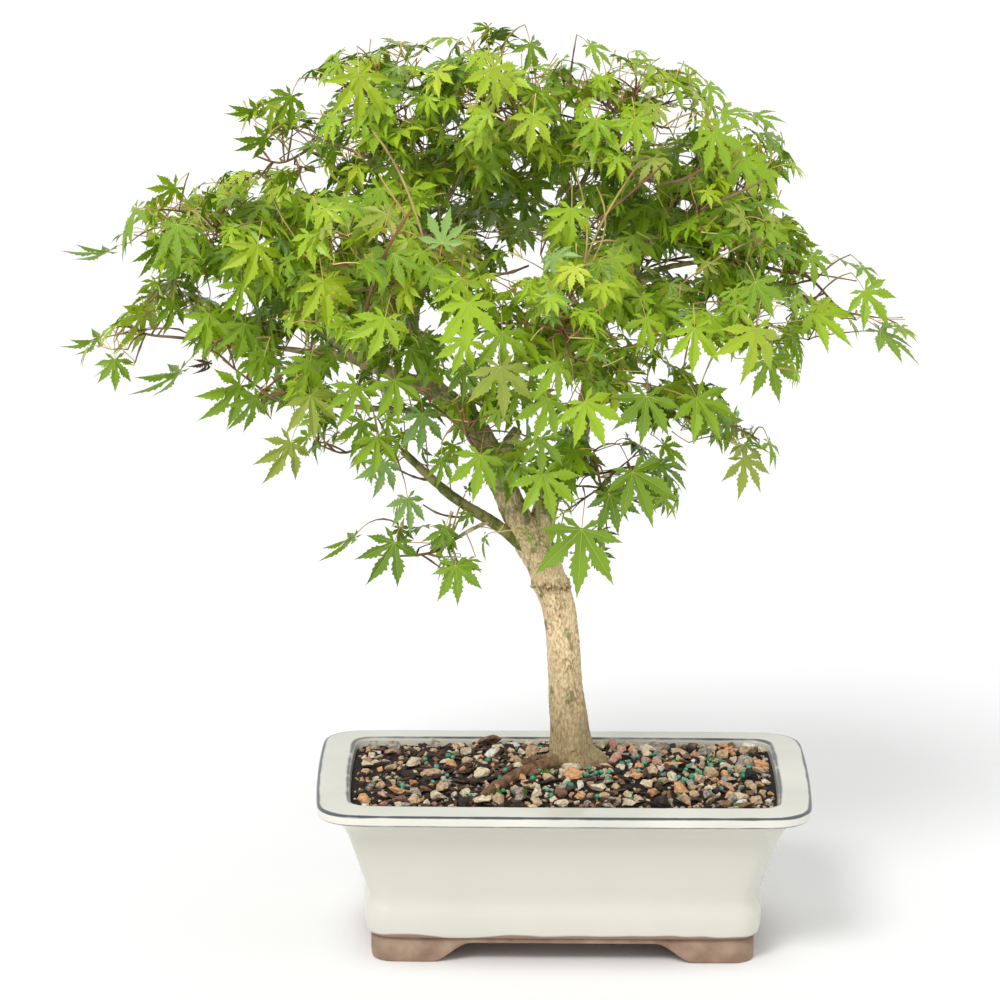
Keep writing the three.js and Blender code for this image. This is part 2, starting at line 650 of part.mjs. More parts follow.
// A twig as long as fits, with a leaf at its end and pairs of leaves along it
function addTwig(root, target, growth) {
  for (const reach of REACH_TRIES) {
    const end = root.clone().lerp(target, reach);
    const outward = outwardAt(root, end);
    const fits = growth.inside(end)
      && growth.clear(root, end, TWIG_RADIUS)
      && !growth.leaves.some((leaf) => pierces([[root, end]], leaf.faces));
    if (fits && addLeaf(end, outward, growth)) {
      growth.twigs.push([root, end]);
      const onward = end.clone().sub(root).normalize();
      const tip = end.clone().addScaledVector(onward, TWIG_PAST_LEAF);
      growth.pieces.push(rod([root, tip], [TWIG_RADIUS, TWIG_TIP_RADIUS], TWIG_SIDES));
      PAIR_PLACES.forEach((place, pair) => {
        const pairRoot = root.clone().lerp(end, place);
        const swing = PAIR_TURN * (1 + PAIR_TURN_STEP * pair);
        addLeaf(pairRoot, outward.clone().applyAxisAngle(UP, swing), growth);
        pairRoot.addScaledVector(onward, PAIR_STAGGER);
        addLeaf(pairRoot, outward.clone().applyAxisAngle(UP, -swing), growth);
      });
      return;
    }
  }
}

// A mass: a stem, twigs turned round it by the golden angle, and leaves, all fused to one solid
function makeMass(mass, masses, blockers) {
  const stem = stemCurve(mass);
  const stemPoints = stem.getSpacedPoints(STEM_STEPS);
  const stemStartRadius = Math.min(STEM_RADIUS, mass.bough.radii[mass.bough.radii.length - 1] + GAP);
  const stemRadii = stemPoints.map((p, i) => {
    return THREE.MathUtils.lerp(stemStartRadius, STEM_END_RADIUS, i / STEM_STEPS);
  });
  const growth = {
    random: mass.random,
    inside: makeCell(mass, masses),
    clear: (from, to, radius) => blockers.every((block) => {
      const room = block.radius + radius + LEAF_CLEARANCE;
      return runDistance(from, to, block.start, block.end) > room;
    }),
    pieces: [rod(stemPoints, stemRadii, TWIG_SIDES)],
    twigs: stemPoints.slice(1).map((p, i) => [stemPoints[i], p]),
    leaves: [],
  };
  const stemEnd = stemPoints[STEM_STEPS];
  const along = stemEnd.clone().sub(stemPoints[0]).normalize();
  addLeaf(stemEnd, outwardAt(stemPoints[0], stemEnd), growth);
  for (let k = 0; k < mass.twigs; k += 1) {
    const height = 1 - (2 * (k + 0.5)) / mass.twigs;
    const turn = k * GOLDEN_ANGLE + mass.turn;
    const level = Math.sqrt(1 - height * height);
    const aim = new THREE.Vector3(level * Math.cos(turn), level * Math.sin(turn), height);
    const target = aim.clone().multiply(mass.half).multiplyScalar(TWIG_REACH).add(mass.middle);
    const forward = (aim.dot(along) + 1) / 2;
    const place = THREE.MathUtils.lerp(TWIG_PLACES[0], TWIG_PLACES[1], forward) + PLACE_JITTER * mass.random();
    addTwig(stem.getPointAt(place), target, growth);
  }
  const fused = wasm.Manifold.union(growth.pieces.map(toSolid));
  return largestBody(fused.simplify(FUSE_TOLERANCE));
}

const group = new THREE.Group();
const materials = Object.fromEntries(Object.entries(COLORS).map(([name, color]) => {
  const roughness = name === 'glaze' ? 0.2 : 0.75;
  return [name, new THREE.MeshStandardMaterial({ color, roughness, metalness: 0 })];
}));

function addMesh(name, geometry, material) {
  const mesh = new THREE.Mesh(geometry, material);
  mesh.name = name;
  group.add(mesh);
  return mesh;
}

addMesh('pot', makePot(), materials.glaze);
makeFeet().forEach(({ name, geometry }) => addMesh(name, geometry, materials.clay));
const soilMesh = addMesh('soil', makeSoil(), materials.soil);
soilMesh.updateMatrixWorld();

const limbs = new Map();
limbs.set('trunk', makeTrunk());
for (const row of ROOTS) {
  const root = makeRoot(row, soilMesh);
  cutClear(root, limbs.values());
  limbs.set(root.name, root);
}
for (const row of BOUGHS) {
  const bough = makeBough(limbs, row);
  cutClear(bough, limbs.values());
  limbs.set(bough.name, bough);
}
for (const limb of limbs.values()) {
  const material = limb.name === 'green_bough' ? materials.greenBark : materials.bark;
  addMesh(limb.name, toGeometry(limb.solid), material);
}

const masses = MASSES.map(([name, boughName, middle, half, twigs, seed], i) => {
  const halfSizes = vector(half);
  return {
    name,
    bough: limbs.get(boughName),
    middle: vector(middle),
    half: halfSizes,
    size: Math.cbrt(halfSizes.x * halfSizes.y * halfSizes.z * CELL_FLATNESS),
    twigs,
    random: seededRandom(seed),
    turn: MASS_TURN * i,
  };
});
const blockers = [...limbs.values()].flatMap(capsules);
masses.forEach((mass) => {
  const solid = makeMass(mass, masses, blockers);
  addMesh(`foliage_${mass.name}`, toGeometry(solid), materials.leaf);
});

// The origin is under the middle of the whole plant, on the plane that the feet stand on
const bounds = new THREE.Box3().setFromObject(group);
const middle = bounds.getCenter(new THREE.Vector3());
group.position.set(-middle.x, -middle.y, -bounds.min.z);

export default group;
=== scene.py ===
"""A maple bonsai in its glazed pot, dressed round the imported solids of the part.

Sizes are millimetres in the pot's own frame, as in the part's source: x = 0, y = 0 is the middle
of the pot and z = 0 the floor. They become metres in the part's frame when a piece is made.
"""

import itertools
import math
import random

import bmesh
import bpy
import numpy as np
from mathutils import Matrix, Vector, noise
from mathutils.bvhtree import BVHTree


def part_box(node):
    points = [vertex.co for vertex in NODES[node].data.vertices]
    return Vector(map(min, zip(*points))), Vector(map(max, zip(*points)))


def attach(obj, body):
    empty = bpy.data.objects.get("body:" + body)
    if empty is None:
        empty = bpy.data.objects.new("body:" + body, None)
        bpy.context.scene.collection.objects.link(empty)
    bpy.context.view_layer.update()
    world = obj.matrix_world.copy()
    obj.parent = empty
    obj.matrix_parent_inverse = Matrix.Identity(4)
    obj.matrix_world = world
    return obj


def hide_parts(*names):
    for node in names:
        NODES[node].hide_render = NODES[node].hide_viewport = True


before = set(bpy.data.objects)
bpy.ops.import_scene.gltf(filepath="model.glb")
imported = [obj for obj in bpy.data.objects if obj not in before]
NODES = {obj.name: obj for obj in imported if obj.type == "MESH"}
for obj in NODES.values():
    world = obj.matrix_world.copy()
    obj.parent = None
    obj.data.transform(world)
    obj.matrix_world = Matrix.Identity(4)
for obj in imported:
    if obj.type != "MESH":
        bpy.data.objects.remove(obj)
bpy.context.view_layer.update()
MM = 0.001
UP = np.array([0.0, 0.0, 1.0])
GOLDEN_ANGLE = math.pi * (3 - math.sqrt(5))

# Camera of the photograph, in the pot's frame
CAMERA_PLACE = (-40.7, -3334.8, 1129.7)
CAMERA_PITCH = 14.29
CAMERA_ROLL = 0.34
CAMERA_LENS = 200.2

# Materials of the leaves' pieces that follow the eight leaf colours
STRAW_STALK, RED_STALK, LEAF_RIB, DRY_LEAF = 8, 9, 10, 11
STALK_KINDS = (STRAW_STALK, RED_STALK, STRAW_STALK)

# Pot: outer sizes, and the bow of its sides
POT_LENGTH = 305
POT_DEPTH = 186
LONG_SIDE_BOW = 0.8
SHORT_SIDE_BOW = 1.6
POT_CORNER_STEPS = 4
POT_SIDE_STEPS = 8

# Pot wall from the underside up the outside, over the rim and down the inside:
# height, inset at the ends, inset at the front and back, corner radius, strength of the blue line
POT_WALL = [
    (16, 36, 33, 14, 0),
    (16, 31.6, 28.6, 16, 0),
    (19, 30.4, 27.4, 16, 0),
    (28, 29.2, 26.2, 16, 0),
    (34, 29.8, 26.8, 16, 0),
    (37, 31.6, 28.6, 16, 0),
    (42, 31.6, 28.6, 16, 0),
    (52, 28.2, 25.6, 16, 0),
    (72, 22.2, 20.4, 16, 0),
    (86, 17.8, 16.8, 16, 0),
    (91, 13.2, 12.6, 19, 0),
    (95.4, 7.4, 7.2, 22, 0),
    (96.6, 3.4, 3.4, 23, 0.2),
    (97.1, 1.2, 1.2, 24, 1.1),
    (97.9, 0.2, 0.2, 24, 0.6),
    (98.8, 0, 0, 24, 0),
    (102, 0, 0, 24, 0),
    (103, 0.1, 0.1, 24, 0.55),
    (103.7, 0.7, 0.7, 24, 1.3),
    (104, 2.1, 2.1, 23.5, 0.4),
    (104.15, 4, 4, 22, 0),
    (104.9, 17.4, 17.4, 13.5, 0),
    (104.9, 19.2, 19.2, 12.5, 0.68),
    (104.3, 20.5, 20.5, 11.5, 0.5),
    (103, 21, 21, 11, 0),
    (98, 21.2, 21.2, 11, 0),
    (88, 25.4, 24.6, 11, 0),
    (60, 34.2, 32.2, 11, 0),
    (34, 39.4, 37.2, 11, 0),
    (25, 42, 40, 11, 0),
]

# Foot ring: its insets, and the arch between each two feet (half width at the floor and at its top)
FOOT_HEIGHT = 16
FOOT_INSET_END = 33.8
FOOT_INSET_FRONT = 31
FOOT_THICKNESS = 16
FOOT_CORNER = 14
FOOT_INNER_CORNER = 4
FOOT_CORNER_STEPS = 8
FOOT_EDGE = 1.2
ARCH_RISE = 12.5
FRONT_ARCH = (82, 57.5)
END_ARCH = (34, 20)
FOOT_SIDE_STEPS = 56

# Soil and what lies on it
SOIL_HALF = (131, 71.5)
SOIL_CORNER = 10
SOIL_HEIGHT = 99.6
RAY_HEIGHT = 300
TRUNK_MIDDLE = (7, 16)
TRUNK_CLEAR = 15
GRAVEL_SIZES = [(12.5, 16.5, 22), (9.5, 12.5, 90), (6.5, 9.5, 300), (4.4, 6.5, 760), (2.6, 4.4, 1300)]
GRAVEL_OVERLAP = 0.76
GRAVEL_CELL = 16
SPARSE_LEFT = -35
SPARSE_FRONT = -52
SPARSE_SHARE = 0.55
LOOSE_CLEAR = 4
PRILLS = 84
PRILL_SIZE = (2.6, 3.5)
PRILL_MIDDLE = (95, -20)
PRILL_MARGIN = 4
CHIPS = 420
CHIP_SIZES = ((3, 8), (1, 2), (0.5, 1))
CHIP_MIDDLE = -90
CHIP_MARGINS = (6, 5)
MOSS_TUFTS = [(-46, -42), (-42, -44), (-12, -14), (-9, -17), (-26, -46), (2, -38), (92, 30)]
MOSS_BLADES = 34

# Trunk: x, y, z and radius from the soil up to the fork
TRUNK_FOOT = 107.1
TRUNK = [
    (9, 16, TRUNK_FOOT - 7, 21),
    (7, 16, TRUNK_FOOT, 18),
    (5.4, 16, 113, 15),
    (4, 15, 127, 12.2),
    (1, 14, 158, 10.9),
    (-1, 13, 187, 10.2),
    (-4, 12, 209, 10.3),
    (-9, 11, 224, 10.9),
    (-14, 10, 239, 10.8),
    (-21, 9, 252, 11.4),
]
FLARE_RIDGES = 5
FLARE_DEPTH = 0.13
FLARE_FADE = 16
FLARE_TURN = 0.6

# Boughs: name, what each grows from and how far along it, the bends with the tip last, and two radii
BOUGHS = [
    ("left_bough", "trunk", 0.93, [(-30, 6, 268), (-43, 3, 298), (-58, 0, 330), (-84, -2, 353)], 9.2, 6.2),
    ("right_bough", "trunk", 0.95, [(-11, 14, 276), (3, 17, 301), (15, 16, 353), (20, 13, 412)], 7.4, 4),
    ("green_bough", "trunk", 0.9, [(-42, 0, 264), (-68, -12, 284), (-86, -17, 301), (-100, -22, 316)],
     4.4, 2.4),
    ("upper_leader", "left_bough", 0.97, [(-95, 6, 383), (-89, 10, 437), (-90, 8, 484)], 5.4, 2.6),
    ("left_limb", "left_bough", 0.96, [(-110, -4, 362), (-139, -5, 375)], 5, 3.8),
    ("shoulder_left_bough", "upper_leader", 0.45, [(-124, 12, 462), (-146, 14, 490)], 2.6, 1.7),
    ("top_centre_bough", "upper_leader", 0.66, [(-68, 12, 478), (-54, 11, 503)], 2.5, 1.7),
    ("front_left_bough", "upper_leader", 0.2, [(-101, -26, 404), (-106, -54, 421)], 2.8, 1.9),
    ("back_centre_bough", "upper_leader", 0.4, [(-80, 42, 414), (-70, 70, 421)], 2.6, 1.8),
    ("left_upper_bough", "left_limb", 0.9, [(-160, -2, 396), (-180, 2, 423)], 2.9, 1.9),
    ("left_outer_bough", "left_limb", 0.86, [(-176, -6, 377), (-232, -3, 382)], 3, 1.7),
    ("back_left_bough", "left_limb", 0.5, [(-130, 34, 371), (-144, 62, 377)], 2.8, 1.8),
    ("left_low_bough", "left_bough", 0.78, [(-110, -14, 341), (-160, -22, 346)], 2.8, 1.8),
    ("inner_front_bough", "left_bough", 0.56, [(-53, -16, 312), (-57, -33, 322)], 2.6, 1.8),
    ("low_left_bough", "green_bough", 0.38, [(-60, -18, 265), (-72, -24, 259)], 2, 1.4),
    ("right_leader", "right_bough", 0.98, [(46, 11, 437), (64, 9, 462)], 3.4, 2.1),
    ("centre_leader", "right_bough", 0.8, [(-4, 22, 422), (-2, 16, 455), (12, 7, 486)], 3.2, 2),
    ("front_centre_bough", "right_bough", 0.68, [(7, -22, 384), (0, -54, 397)], 2.7, 1.8),
    ("right_outer_bough", "right_bough", 0.96, [(57, 4, 426), (100, 0, 432), (132, -2, 426)], 2.8, 1.6),
    ("right_low_bough", "right_bough", 0.66, [(42, 2, 378), (58, -6, 384)], 2.6, 1.8),
    ("right_skirt_bough", "right_bough", 0.56, [(38, 6, 344), (56, -1, 340)], 2.6, 1.8),
    ("centre_low_bough", "right_bough", 0.32, [(8, 3, 306), (13, -9, 308)], 2.4, 1.6),
    ("back_right_bough", "right_bough", 0.82, [(30, 44, 396), (38, 66, 401)], 2.8, 1.9),
]

# How much a bough swells where it starts, a thin bough's share of its radius and its knots, and the steps
START_SWELL = 1.25
THIN_SHARE = 0.74
THIN_KNOT = 0.12
KNOT_STATIONS = 2.2
LIMB_STEP = 2.5
LIMB_SIDES = 20
STOUT_LIMBS = ("trunk", "left_bough", "right_bough", "upper_leader", "left_limb")

# Roots that run over the soil: the way each goes in x and y, and two radii
ROOTS = [
    ("surface_root_front", [(4, 14), (-14, -4), (-38, -30), (-58, -60)], 4.8, 3),
    ("surface_root_left", [(4, 18), (-16, 12), (-32, -2), (-46, -16)], 3.6, 1.8),
    ("surface_root_right", [(8, 14), (20, -2), (30, -12)], 3.4, 1.8),
]
ROOT_REST = 0.72
ROOT_DIP = 1.7
ROOT_DIP_START = 0.72

# A short stub where a bough was cut, and twigs that carry no leaves: their ways and two radii
STUB = [(-44, 1, 302), (-37, -2, 315), (-30, -3, 326)]
STUB_RADII = (4.8, 3.3)
BARE_TWIGS = [
    ([(6, 4, 296), (24, -4, 299), (38, -6, 303), (53, -8, 302)], 1.0, 0.6),
    ([(-62, 0, 418), (-48, -8, 424), (-36, -10, 426), (-24, -12, 431)], 1.2, 0.7),
    ([(-81, -15, 296), (-92, -19, 299), (-106, -22, 306)], 0.8, 0.5),
    ([(-53, -5, 272), (-66, -11, 272), (-79, -17, 276), (-88, -20, 282)], 0.8, 0.5),
]

# Masses of foliage: name, the bough that carries each, the middle, the half sizes, main twigs and seed
MASSES = [
    ("crown_top_left", "upper_leader", (-116, -6, 522), (68, 88, 56), 7, 55),
    ("crown_top_centre", "top_centre_bough", (-44, -8, 530), (62, 96, 56), 7, 26),
    ("crown_top_right", "centre_leader", (32, -8, 518), (66, 92, 58), 7, 26),
    ("shoulder_right", "right_leader", (98, 0, 466), (62, 90, 56), 7, 37),
    ("right_outer", "right_outer_bough", (168, 0, 402), (63, 68, 46), 6, 54),
    ("right_low", "right_low_bough", (98, -32, 392), (62, 84, 52), 6, 27),
    ("right_skirt", "right_skirt_bough", (92, -8, 330), (56, 68, 46), 5, 23),
    ("centre_front", "front_centre_bough", (-4, -98, 410), (68, 78, 70), 6, 13),
    ("centre_low", "centre_low_bough", (24, -28, 288), (55, 68, 52), 5, 46),
    ("shoulder_left", "shoulder_left_bough", (-176, 8, 490), (54, 78, 43), 6, 44),
    ("left_upper", "left_upper_bough", (-214, 2, 448), (72, 90, 54), 6, 32),
    ("left_outer", "left_outer_bough", (-258, 0, 384), (58, 68, 46), 6, 36),
    ("left_low", "left_low_bough", (-196, -30, 364), (64, 82, 46), 6, 43),
    ("left_skirt", "green_bough", (-136, -42, 320), (56, 64, 43), 5, 50),
    ("low_left", "low_left_bough", (-102, -30, 252), (64, 60, 38), 5, 13),
    ("front_left", "front_left_bough", (-112, -98, 438), (72, 78, 68), 5, 24),
    ("inner_front", "inner_front_bough", (-62, -76, 342), (50, 54, 54), 5, 43),
    ("back_left", "back_left_bough", (-160, 100, 396), (80, 80, 76), 5, 17),
    ("back_centre", "back_centre_bough", (-58, 100, 450), (74, 80, 78), 5, 50),
    ("back_right", "back_right_bough", (54, 100, 412), (82, 80, 76), 5, 34),
]
CELL_FLATNESS = 1.25
CELL_SHARE = 12
MASS_TURN = 1.3
CROWN_MIDDLE = np.array([-40.0, 0.0, 400.0])
CROWN_HALF = np.array([270.0, 170.0, 190.0])

# The crown as the photograph's camera sees it, on the plane y = 0: its outline as x and z
CROWN_OUTLINE = [
    (-280, 446), (-263, 468), (-222, 482), (-197, 488), (-162, 486), (-170, 503), (-206, 506), (-207, 523),
    (-183, 546), (-156, 549), (-140, 566), (-98, 572), (-79, 569), (-60, 580), (-27, 578), (-2, 571),
    (44, 564), (76, 554), (90, 538), (128, 528), (133, 511), (148, 482), (128, 475), (148, 450), (188, 426),
    (205, 404), (224, 373), (207, 362), (184, 374), (161, 384), (146, 376), (148, 349), (110, 352),
    (98, 370), (76, 377), (102, 343), (118, 326), (138, 299), (119, 288), (104, 303), (64, 323), (52, 315),
    (74, 306), (72, 267), (36, 262), (34, 234), (22, 238), (11, 216), (0, 238), (-40, 258), (-49, 230),
    (-62, 214), (-79, 214), (-88, 228), (-126, 220), (-158, 228), (-148, 250), (-104, 260), (-118, 270),
    (-126, 290), (-162, 299), (-190, 271), (-188, 302), (-172, 324), (-188, 333), (-214, 334), (-222, 350),
    (-232, 366), (-246, 381), (-260, 386), (-264, 352), (-298, 350), (-312, 370), (-284, 388), (-266, 405),
    (-266, 422), (-312, 424), (-312, 436), (-280, 441),
]

# Sky that shows through the crown: x, z and the half sizes of each gap
SKY_GAPS = [
    (-26, 558, 8, 5), (-28, 427, 7, 6), (-88, 396, 5, 4), (131, 400, 5, 4), (-168, 376, 5, 4),
    (-99, 293, 8, 10), (-58, 287, 8, 6), (-82, 272, 10, 7), (30, 306, 6, 6), (12, 272, 6, 6),
    (-82, 320, 5, 5), (-156, 481, 8, 4), (-154, 527, 5, 4), (66, 520, 6, 4), (70, 428, 8, 4),
    (-18, 330, 4, 6), (-126, 321, 6, 7), (172, 410, 9, 5), (190, 388, 5, 7), (165, 386, 8, 5),
    (-249, 377, 8, 6), (-216, 360, 8, 6), (-237, 387, 8, 5), (-200, 405, 6, 4), (-132, 246, 10, 7),
    (-90, 236, 7, 13), (-112, 226, 6, 6), (-278, 402, 8, 5), (112, 362, 8, 8), (-172, 290, 7, 8),
    (157, 417, 12, 7), (-128, 284, 8, 7), (205, 372, 5, 6), (-150, 258, 12, 5), (-262, 432, 6, 4),
    (76, 376, 9, 6), (20, 553, 5, 4), (44, 384, 4, 3),
]

# Specks of sky between the leaves: tries, clear space between two and half sizes
SPECK_TRIES = 1500
SPECK_SPACING = (33, 18.5)
SPECK_HEIGHTS = (380, 540)
SPECK_HALF = (1.8, 3)

# Leaves placed one by one: x and z seen on the plane y = 0, the depth y, the middle lobe's length,
# its heading from straight down, its turn from face on, and its colour
PLACED_LEAVES = [
    (-278, 368, 0, 19, 2, 10, 4), (-281, 436, 0, 29, -76, 78, 4), (-287, 381, -4, 25, -64, 68, 4),
    (-258, 398, -10, 34, -34, 56, 1), (-242, 405, -14, 22, -6, 40, 4), (-220, 397, -40, 26, -4, 15, 3),
    (-198, 391, -50, 24, -10, 30, 4), (-238, 361, -20, 33, -48, 74, 4), (-201, 352, -40, 34, -40, 42, 3),
    (-191, 344, -46, 27, -38, 50, 4), (-170, 316, -40, 30, -24, 35, 6), (-131, 256, -30, 26, -52, 72, 3),
    (-106, 253, -46, 31, -24, 30, 5), (-68, 238, -40, 25, 10, 18, 4), (10, 262, -60, 40, -6, 8, 4),
    (-14, 297, -92, 33, 12, 14, 3), (-53, 309, -90, 28, -10, 24, 3), (-41, 365, -132, 31, 6, 20, 6),
    (11, 343, -118, 30, 30, 20, 2), (-77, 442, -168, 22, 172, 12, 7), (-61, 405, -172, 31, 4, 18, 2),
    (-128, 546, -80, 34, 4, 30, 1), (-47, 551, -90, 29, 14, 28, 1), (-22, 522, -104, 24, -8, 30, 1),
    (182, 414, -30, 27, 42, 28, 3), (192, 389, -24, 36, 60, 68, 4), (150, 401, -40, 33, 50, 48, 2),
    (116, 390, -100, 34, -8, 36, 1), (124, 371, -60, 27, 20, 20, 4), (115, 419, -104, 25, 30, 30, 4),
    (149, 436, -20, 22, 44, 44, 4), (125, 440, -60, 24, 78, 66, 5), (180, 429, 0, 20, 52, 72, 4),
    (41, 299, -60, 36, 28, 26, 4), (27, 284, -50, 26, 20, 20, 5), (59, 304, -30, 23, 50, 52, 7),
    (110, 308, -30, 27, 32, 38, 6), (49, 347, -84, 34, -4, 24, 4), (80, 346, -66, 34, 34, 34, 3),
    (125, 318, -10, 18, 28, 70, 3), (-221, 367, -60, 10, -20, 30, DRY_LEAF),
    (-190, 440, -82, 29, -12, 22, 1), (-150, 418, -120, 30, 10, 20, 1), (78, 390, -100, 28, 4, 20, 2),
    (-112, 395, -150, 28, -16, 22, 2), (40, 520, -84, 24, 10, 30, 2), (-158, 346, -70, 27, 14, 24, 6),
    (-169, 533, -20, 22, -30, 30, 4), (-190, 524, -10, 20, -70, 60, 4), (-184, 507, -20, 22, -55, 50, 4),
    (93, 525, -20, 24, 78, 60, 3), (112, 522, -10, 20, 95, 66, 4), (62, 545, -30, 22, 60, 55, 3),
    (-11, 345, -110, 27, -20, 26, 3), (-16, 320, -96, 24, 8, 24, 4), (-63, 382, -130, 27, -14, 24, 2),
    (-106, 356, -100, 27, 12, 24, 3), (-129, 352, -90, 28, -16, 26, 3), (-117, 320, -70, 25, 6, 30, 3),
    (-112, 304, -60, 23, -12, 34, 7), (-98, 281, -56, 22, 12, 36, 7), (-77, 306, -80, 18, 0, 40, 4),
    (-40, 387, -120, 28, 4, 24, 3), (2, 464, -110, 28, 0, 26, 2), (-240, 476, -20, 24, -50, 44, 2),
    (-89, 335, -70, 26, 4, 32, 7), (-74, 263, -40, 19, -20, 48, 4), (-60, 272, -14, 12, -10, 40, 4),
    (-60, 286, -12, 11, 150, 44, 4), (-24, 566, -20, 22, 20, 50, 4), (12, 565, -12, 20, 60, 60, 3),
    (84, 541, -12, 20, 50, 60, 3), (-103, 262, -20, 15, 20, 50, 5), (-125, 330, -50, 24, -20, 36, 4),
    (-64, 364, -110, 22, 0, 40, 5), (-7, 368, -120, 28, 10, 40, 3), (-250, 440, -20, 24, -30, 50, 4),
    (48, 396, -100, 24, 20, 40, 2), (-238, 428, -30, 22, -50, 50, 4), (-200, 416, -60, 24, 0, 40, 3),
    (-158, 368, -70, 24, -20, 44, 3), (-186, 371, -60, 22, -20, 40, 4), (60, 316, -40, 20, 60, 50, 3),
    (-30, 352, -110, 22, 20, 46, 4), (88, 512, -64, 27, 30, 28, 3), (87, 342, -50, 26, 20, 40, 4),
    (-66, 420, -158, 26, -10, 26, 2),
]

# A placed leaf's stalk, as shares of the leaf's length up and back, and the radii of its shoot
PLACED_STALK_RUN = 0.45
PLACED_STALK_BACK = 0.4
PLACED_SHOOT_RADII = (0.6, 0.38)

# A placed leaf keeps others off this share of its length, if it is turned less than this
LEAF_FRONT_SHARE = 0.62
SHOWN_TURN = 45

# Stalks and twigs without leaves in front of the crown: x, z and depth of the foot, then of the tip,
# the radius, and 0 for brown, 1 for red or 2 for tan
PLACED_STALKS = [
    (48, 453, -134, 12, 442, -146, 0.55, 2), (17, 451, -128, 3, 490, -104, 0.6, 2),
    (32, 449, -126, 17, 478, -110, 0.55, 2), (51, 356, -84, 73, 347, -92, 0.5, 2),
    (100, 404, -100, 116, 420, -110, 0.5, 2), (60, 470, -84, 82, 490, -94, 0.9, 0),
    (80, 460, -84, 120, 483, -86, 0.8, 0), (28, 462, -110, 59, 493, -98, 0.7, 1),
    (16, 452, -124, 44, 494, -100, 0.6, 2), (-100, 458, -164, -116, 485, -158, 0.6, 2),
    (-106, 478, -150, -112, 452, -170, 0.55, 2), (-123, 420, -168, -96, 463, -174, 0.95, 1),
    (-100, 487, -130, -120, 512, -120, 0.7, 2), (-137, 499, -60, -166, 512, -60, 0.8, 0),
    (-71, 419, -168, -64, 405, -176, 0.5, 2), (-232, 391, -20, -284, 382, -2, 0.5, 1),
    (134, 425, -20, 177, 420, -4, 0.5, 1), (150, 384, -24, 184, 389, -22, 0.4, 1),
    (-212, 448, -90, -230, 462, -94, 0.5, 2), (-176, 452, -80, -182, 474, -84, 0.5, 2),
    (84, 430, -100, 66, 414, -112, 0.5, 2),
]

# Share of those depths that a stalk keeps, and how far it bows up
STALK_DEPTH = 0.84
STALK_BOW = 0.06

# Where leaves keep clear of a placed stalk: parts of its length, and how far in millimetres
STALK_CLEAR_PARTS = (0.35, 0.7)
STALK_CLEAR = 3

# Twigs: the source's stem and main twigs, carried on to shoots in opposite pairs
STEM_STRAIGHT = 0.35
STEM_PAST_MIDDLE = 16
STEM_RISE = 5
STEM_RADII = (1.1, 0.6)
TWIG_GAIN = 2.9
TWIG_PLACES = (0.3, 0.92)
TWIG_REACH = 0.82
TWIG_BOW = 0.1
TWIG_RADII = (0.66, 0.4)
TWIG_JITTER = 0.06
TWIG_LIMIT = 0.94
TWIG_TRIES = (1, 0.9, 0.8, 0.7, 0.6, 0.5)
SHORTEST_TWIG = 10
NODE_SPACING = 12
NODE_START = 0.25
KNOT_SWELL = 1.4

# Shoots along a twig, at its tip and along the mass's own bough
SHOOT_LENGTH = (10, 24)
SHOOT_NODE_SPACING = 9
SHOOT_ANGLE = 0.9
SHOOT_JITTER = 0.2
SHOOT_RADII = (0.42, 0.32)
SHOOT_RISE = 0.12
SHOOT_BOW = 0.14
LAST_SHOOT_LENGTH = (8, 14)
BOUGH_SHOOT_START = 0.2
BOUGH_SHOOT_SPACING = 9
BOUGH_SHOOT_LENGTH = (14, 26)
BOUGH_SHOOT_JITTER = 0.3
BOUGH_SHOOT_LIMIT = 4.5

# Stalks of leaves, and bare ones: at a twig's nodes, and past the tip of some shoots
STALK_LENGTH = (12, 25)
STALK_RADII = (0.4, 0.28)
OLD_STALK_SHARE = 0.4
OLD_STALK_LENGTH = (8, 19)
OLD_STALK_START = 350
OLD_STALK_RADII = (0.42, 0.36, 0.36, 0.52)
BARE_STALK_SHARE = 0.2
BARE_STALK_LENGTH = (8, 16)
BARE_STALK_RADII = (0.45, 0.4, 0.4, 0.55)

# A leaf's shape: lobes as angle and length share, the width along a lobe, teeth, ribs and bends
LOBES = [(-120, 0.4), (-80, 0.7), (-40, 0.93), (0, 1), (40, 0.93), (80, 0.7), (120, 0.4)]
LOBE_LENGTH = 24
LOBE_WIDTH = 0.143
LOBE_PARTS = (0.15, 0.3, 0.44, 0.54, 0.67, 0.78, 0.89, 1)
LOBE_WIDTHS = (0.34, 0.52, 0.88, 1, 0.76, 0.41, 0.16, 0)
TOOTH_RUN = (0.36, 0.9)
TOOTH_DEPTH = 0.17
EDGE_START = 0.15
MIDDLE_RUN = (0.34, 0.66, 1)
SINUS_REACH = (0.2, 0.31)
RIB_WIDTH = 0.3
RIB_LIFT = 0.12
RIB_ROWS = (0, 0.4, 0.78)
LEAF_FOLD = (0.15, 0.55)
LEAF_CURL = (0.002, 0.013)
LEAF_SAG = (-0.08, 0.14)
DRY_FOLD = 1.6
DRY_CURL = 0.05
LEAF_KINDS = 18

# Where leaves grow and how they hang: sizes, tries, spacing, swing, roll and droop
INNER_LEAF_SHARE = 0.45
INNER_REACH = (0.25, 0.55)
LEAF_SCALE = (0.62, 1.55, 0.95)
LEAF_TRIES = 3
LEAF_SHRINK = 0.8
LEAF_SPACING = 10
LEAF_LIMIT = 1.0
LEAF_SWING = 0.75
LEAF_ROLL = 0.5
DROOP_LOW = 0.85
DROOP_TOP = 0.35
DROOP_SPREAD = 0.42
HIGH_START = 470
HIGH_RANGE = 100

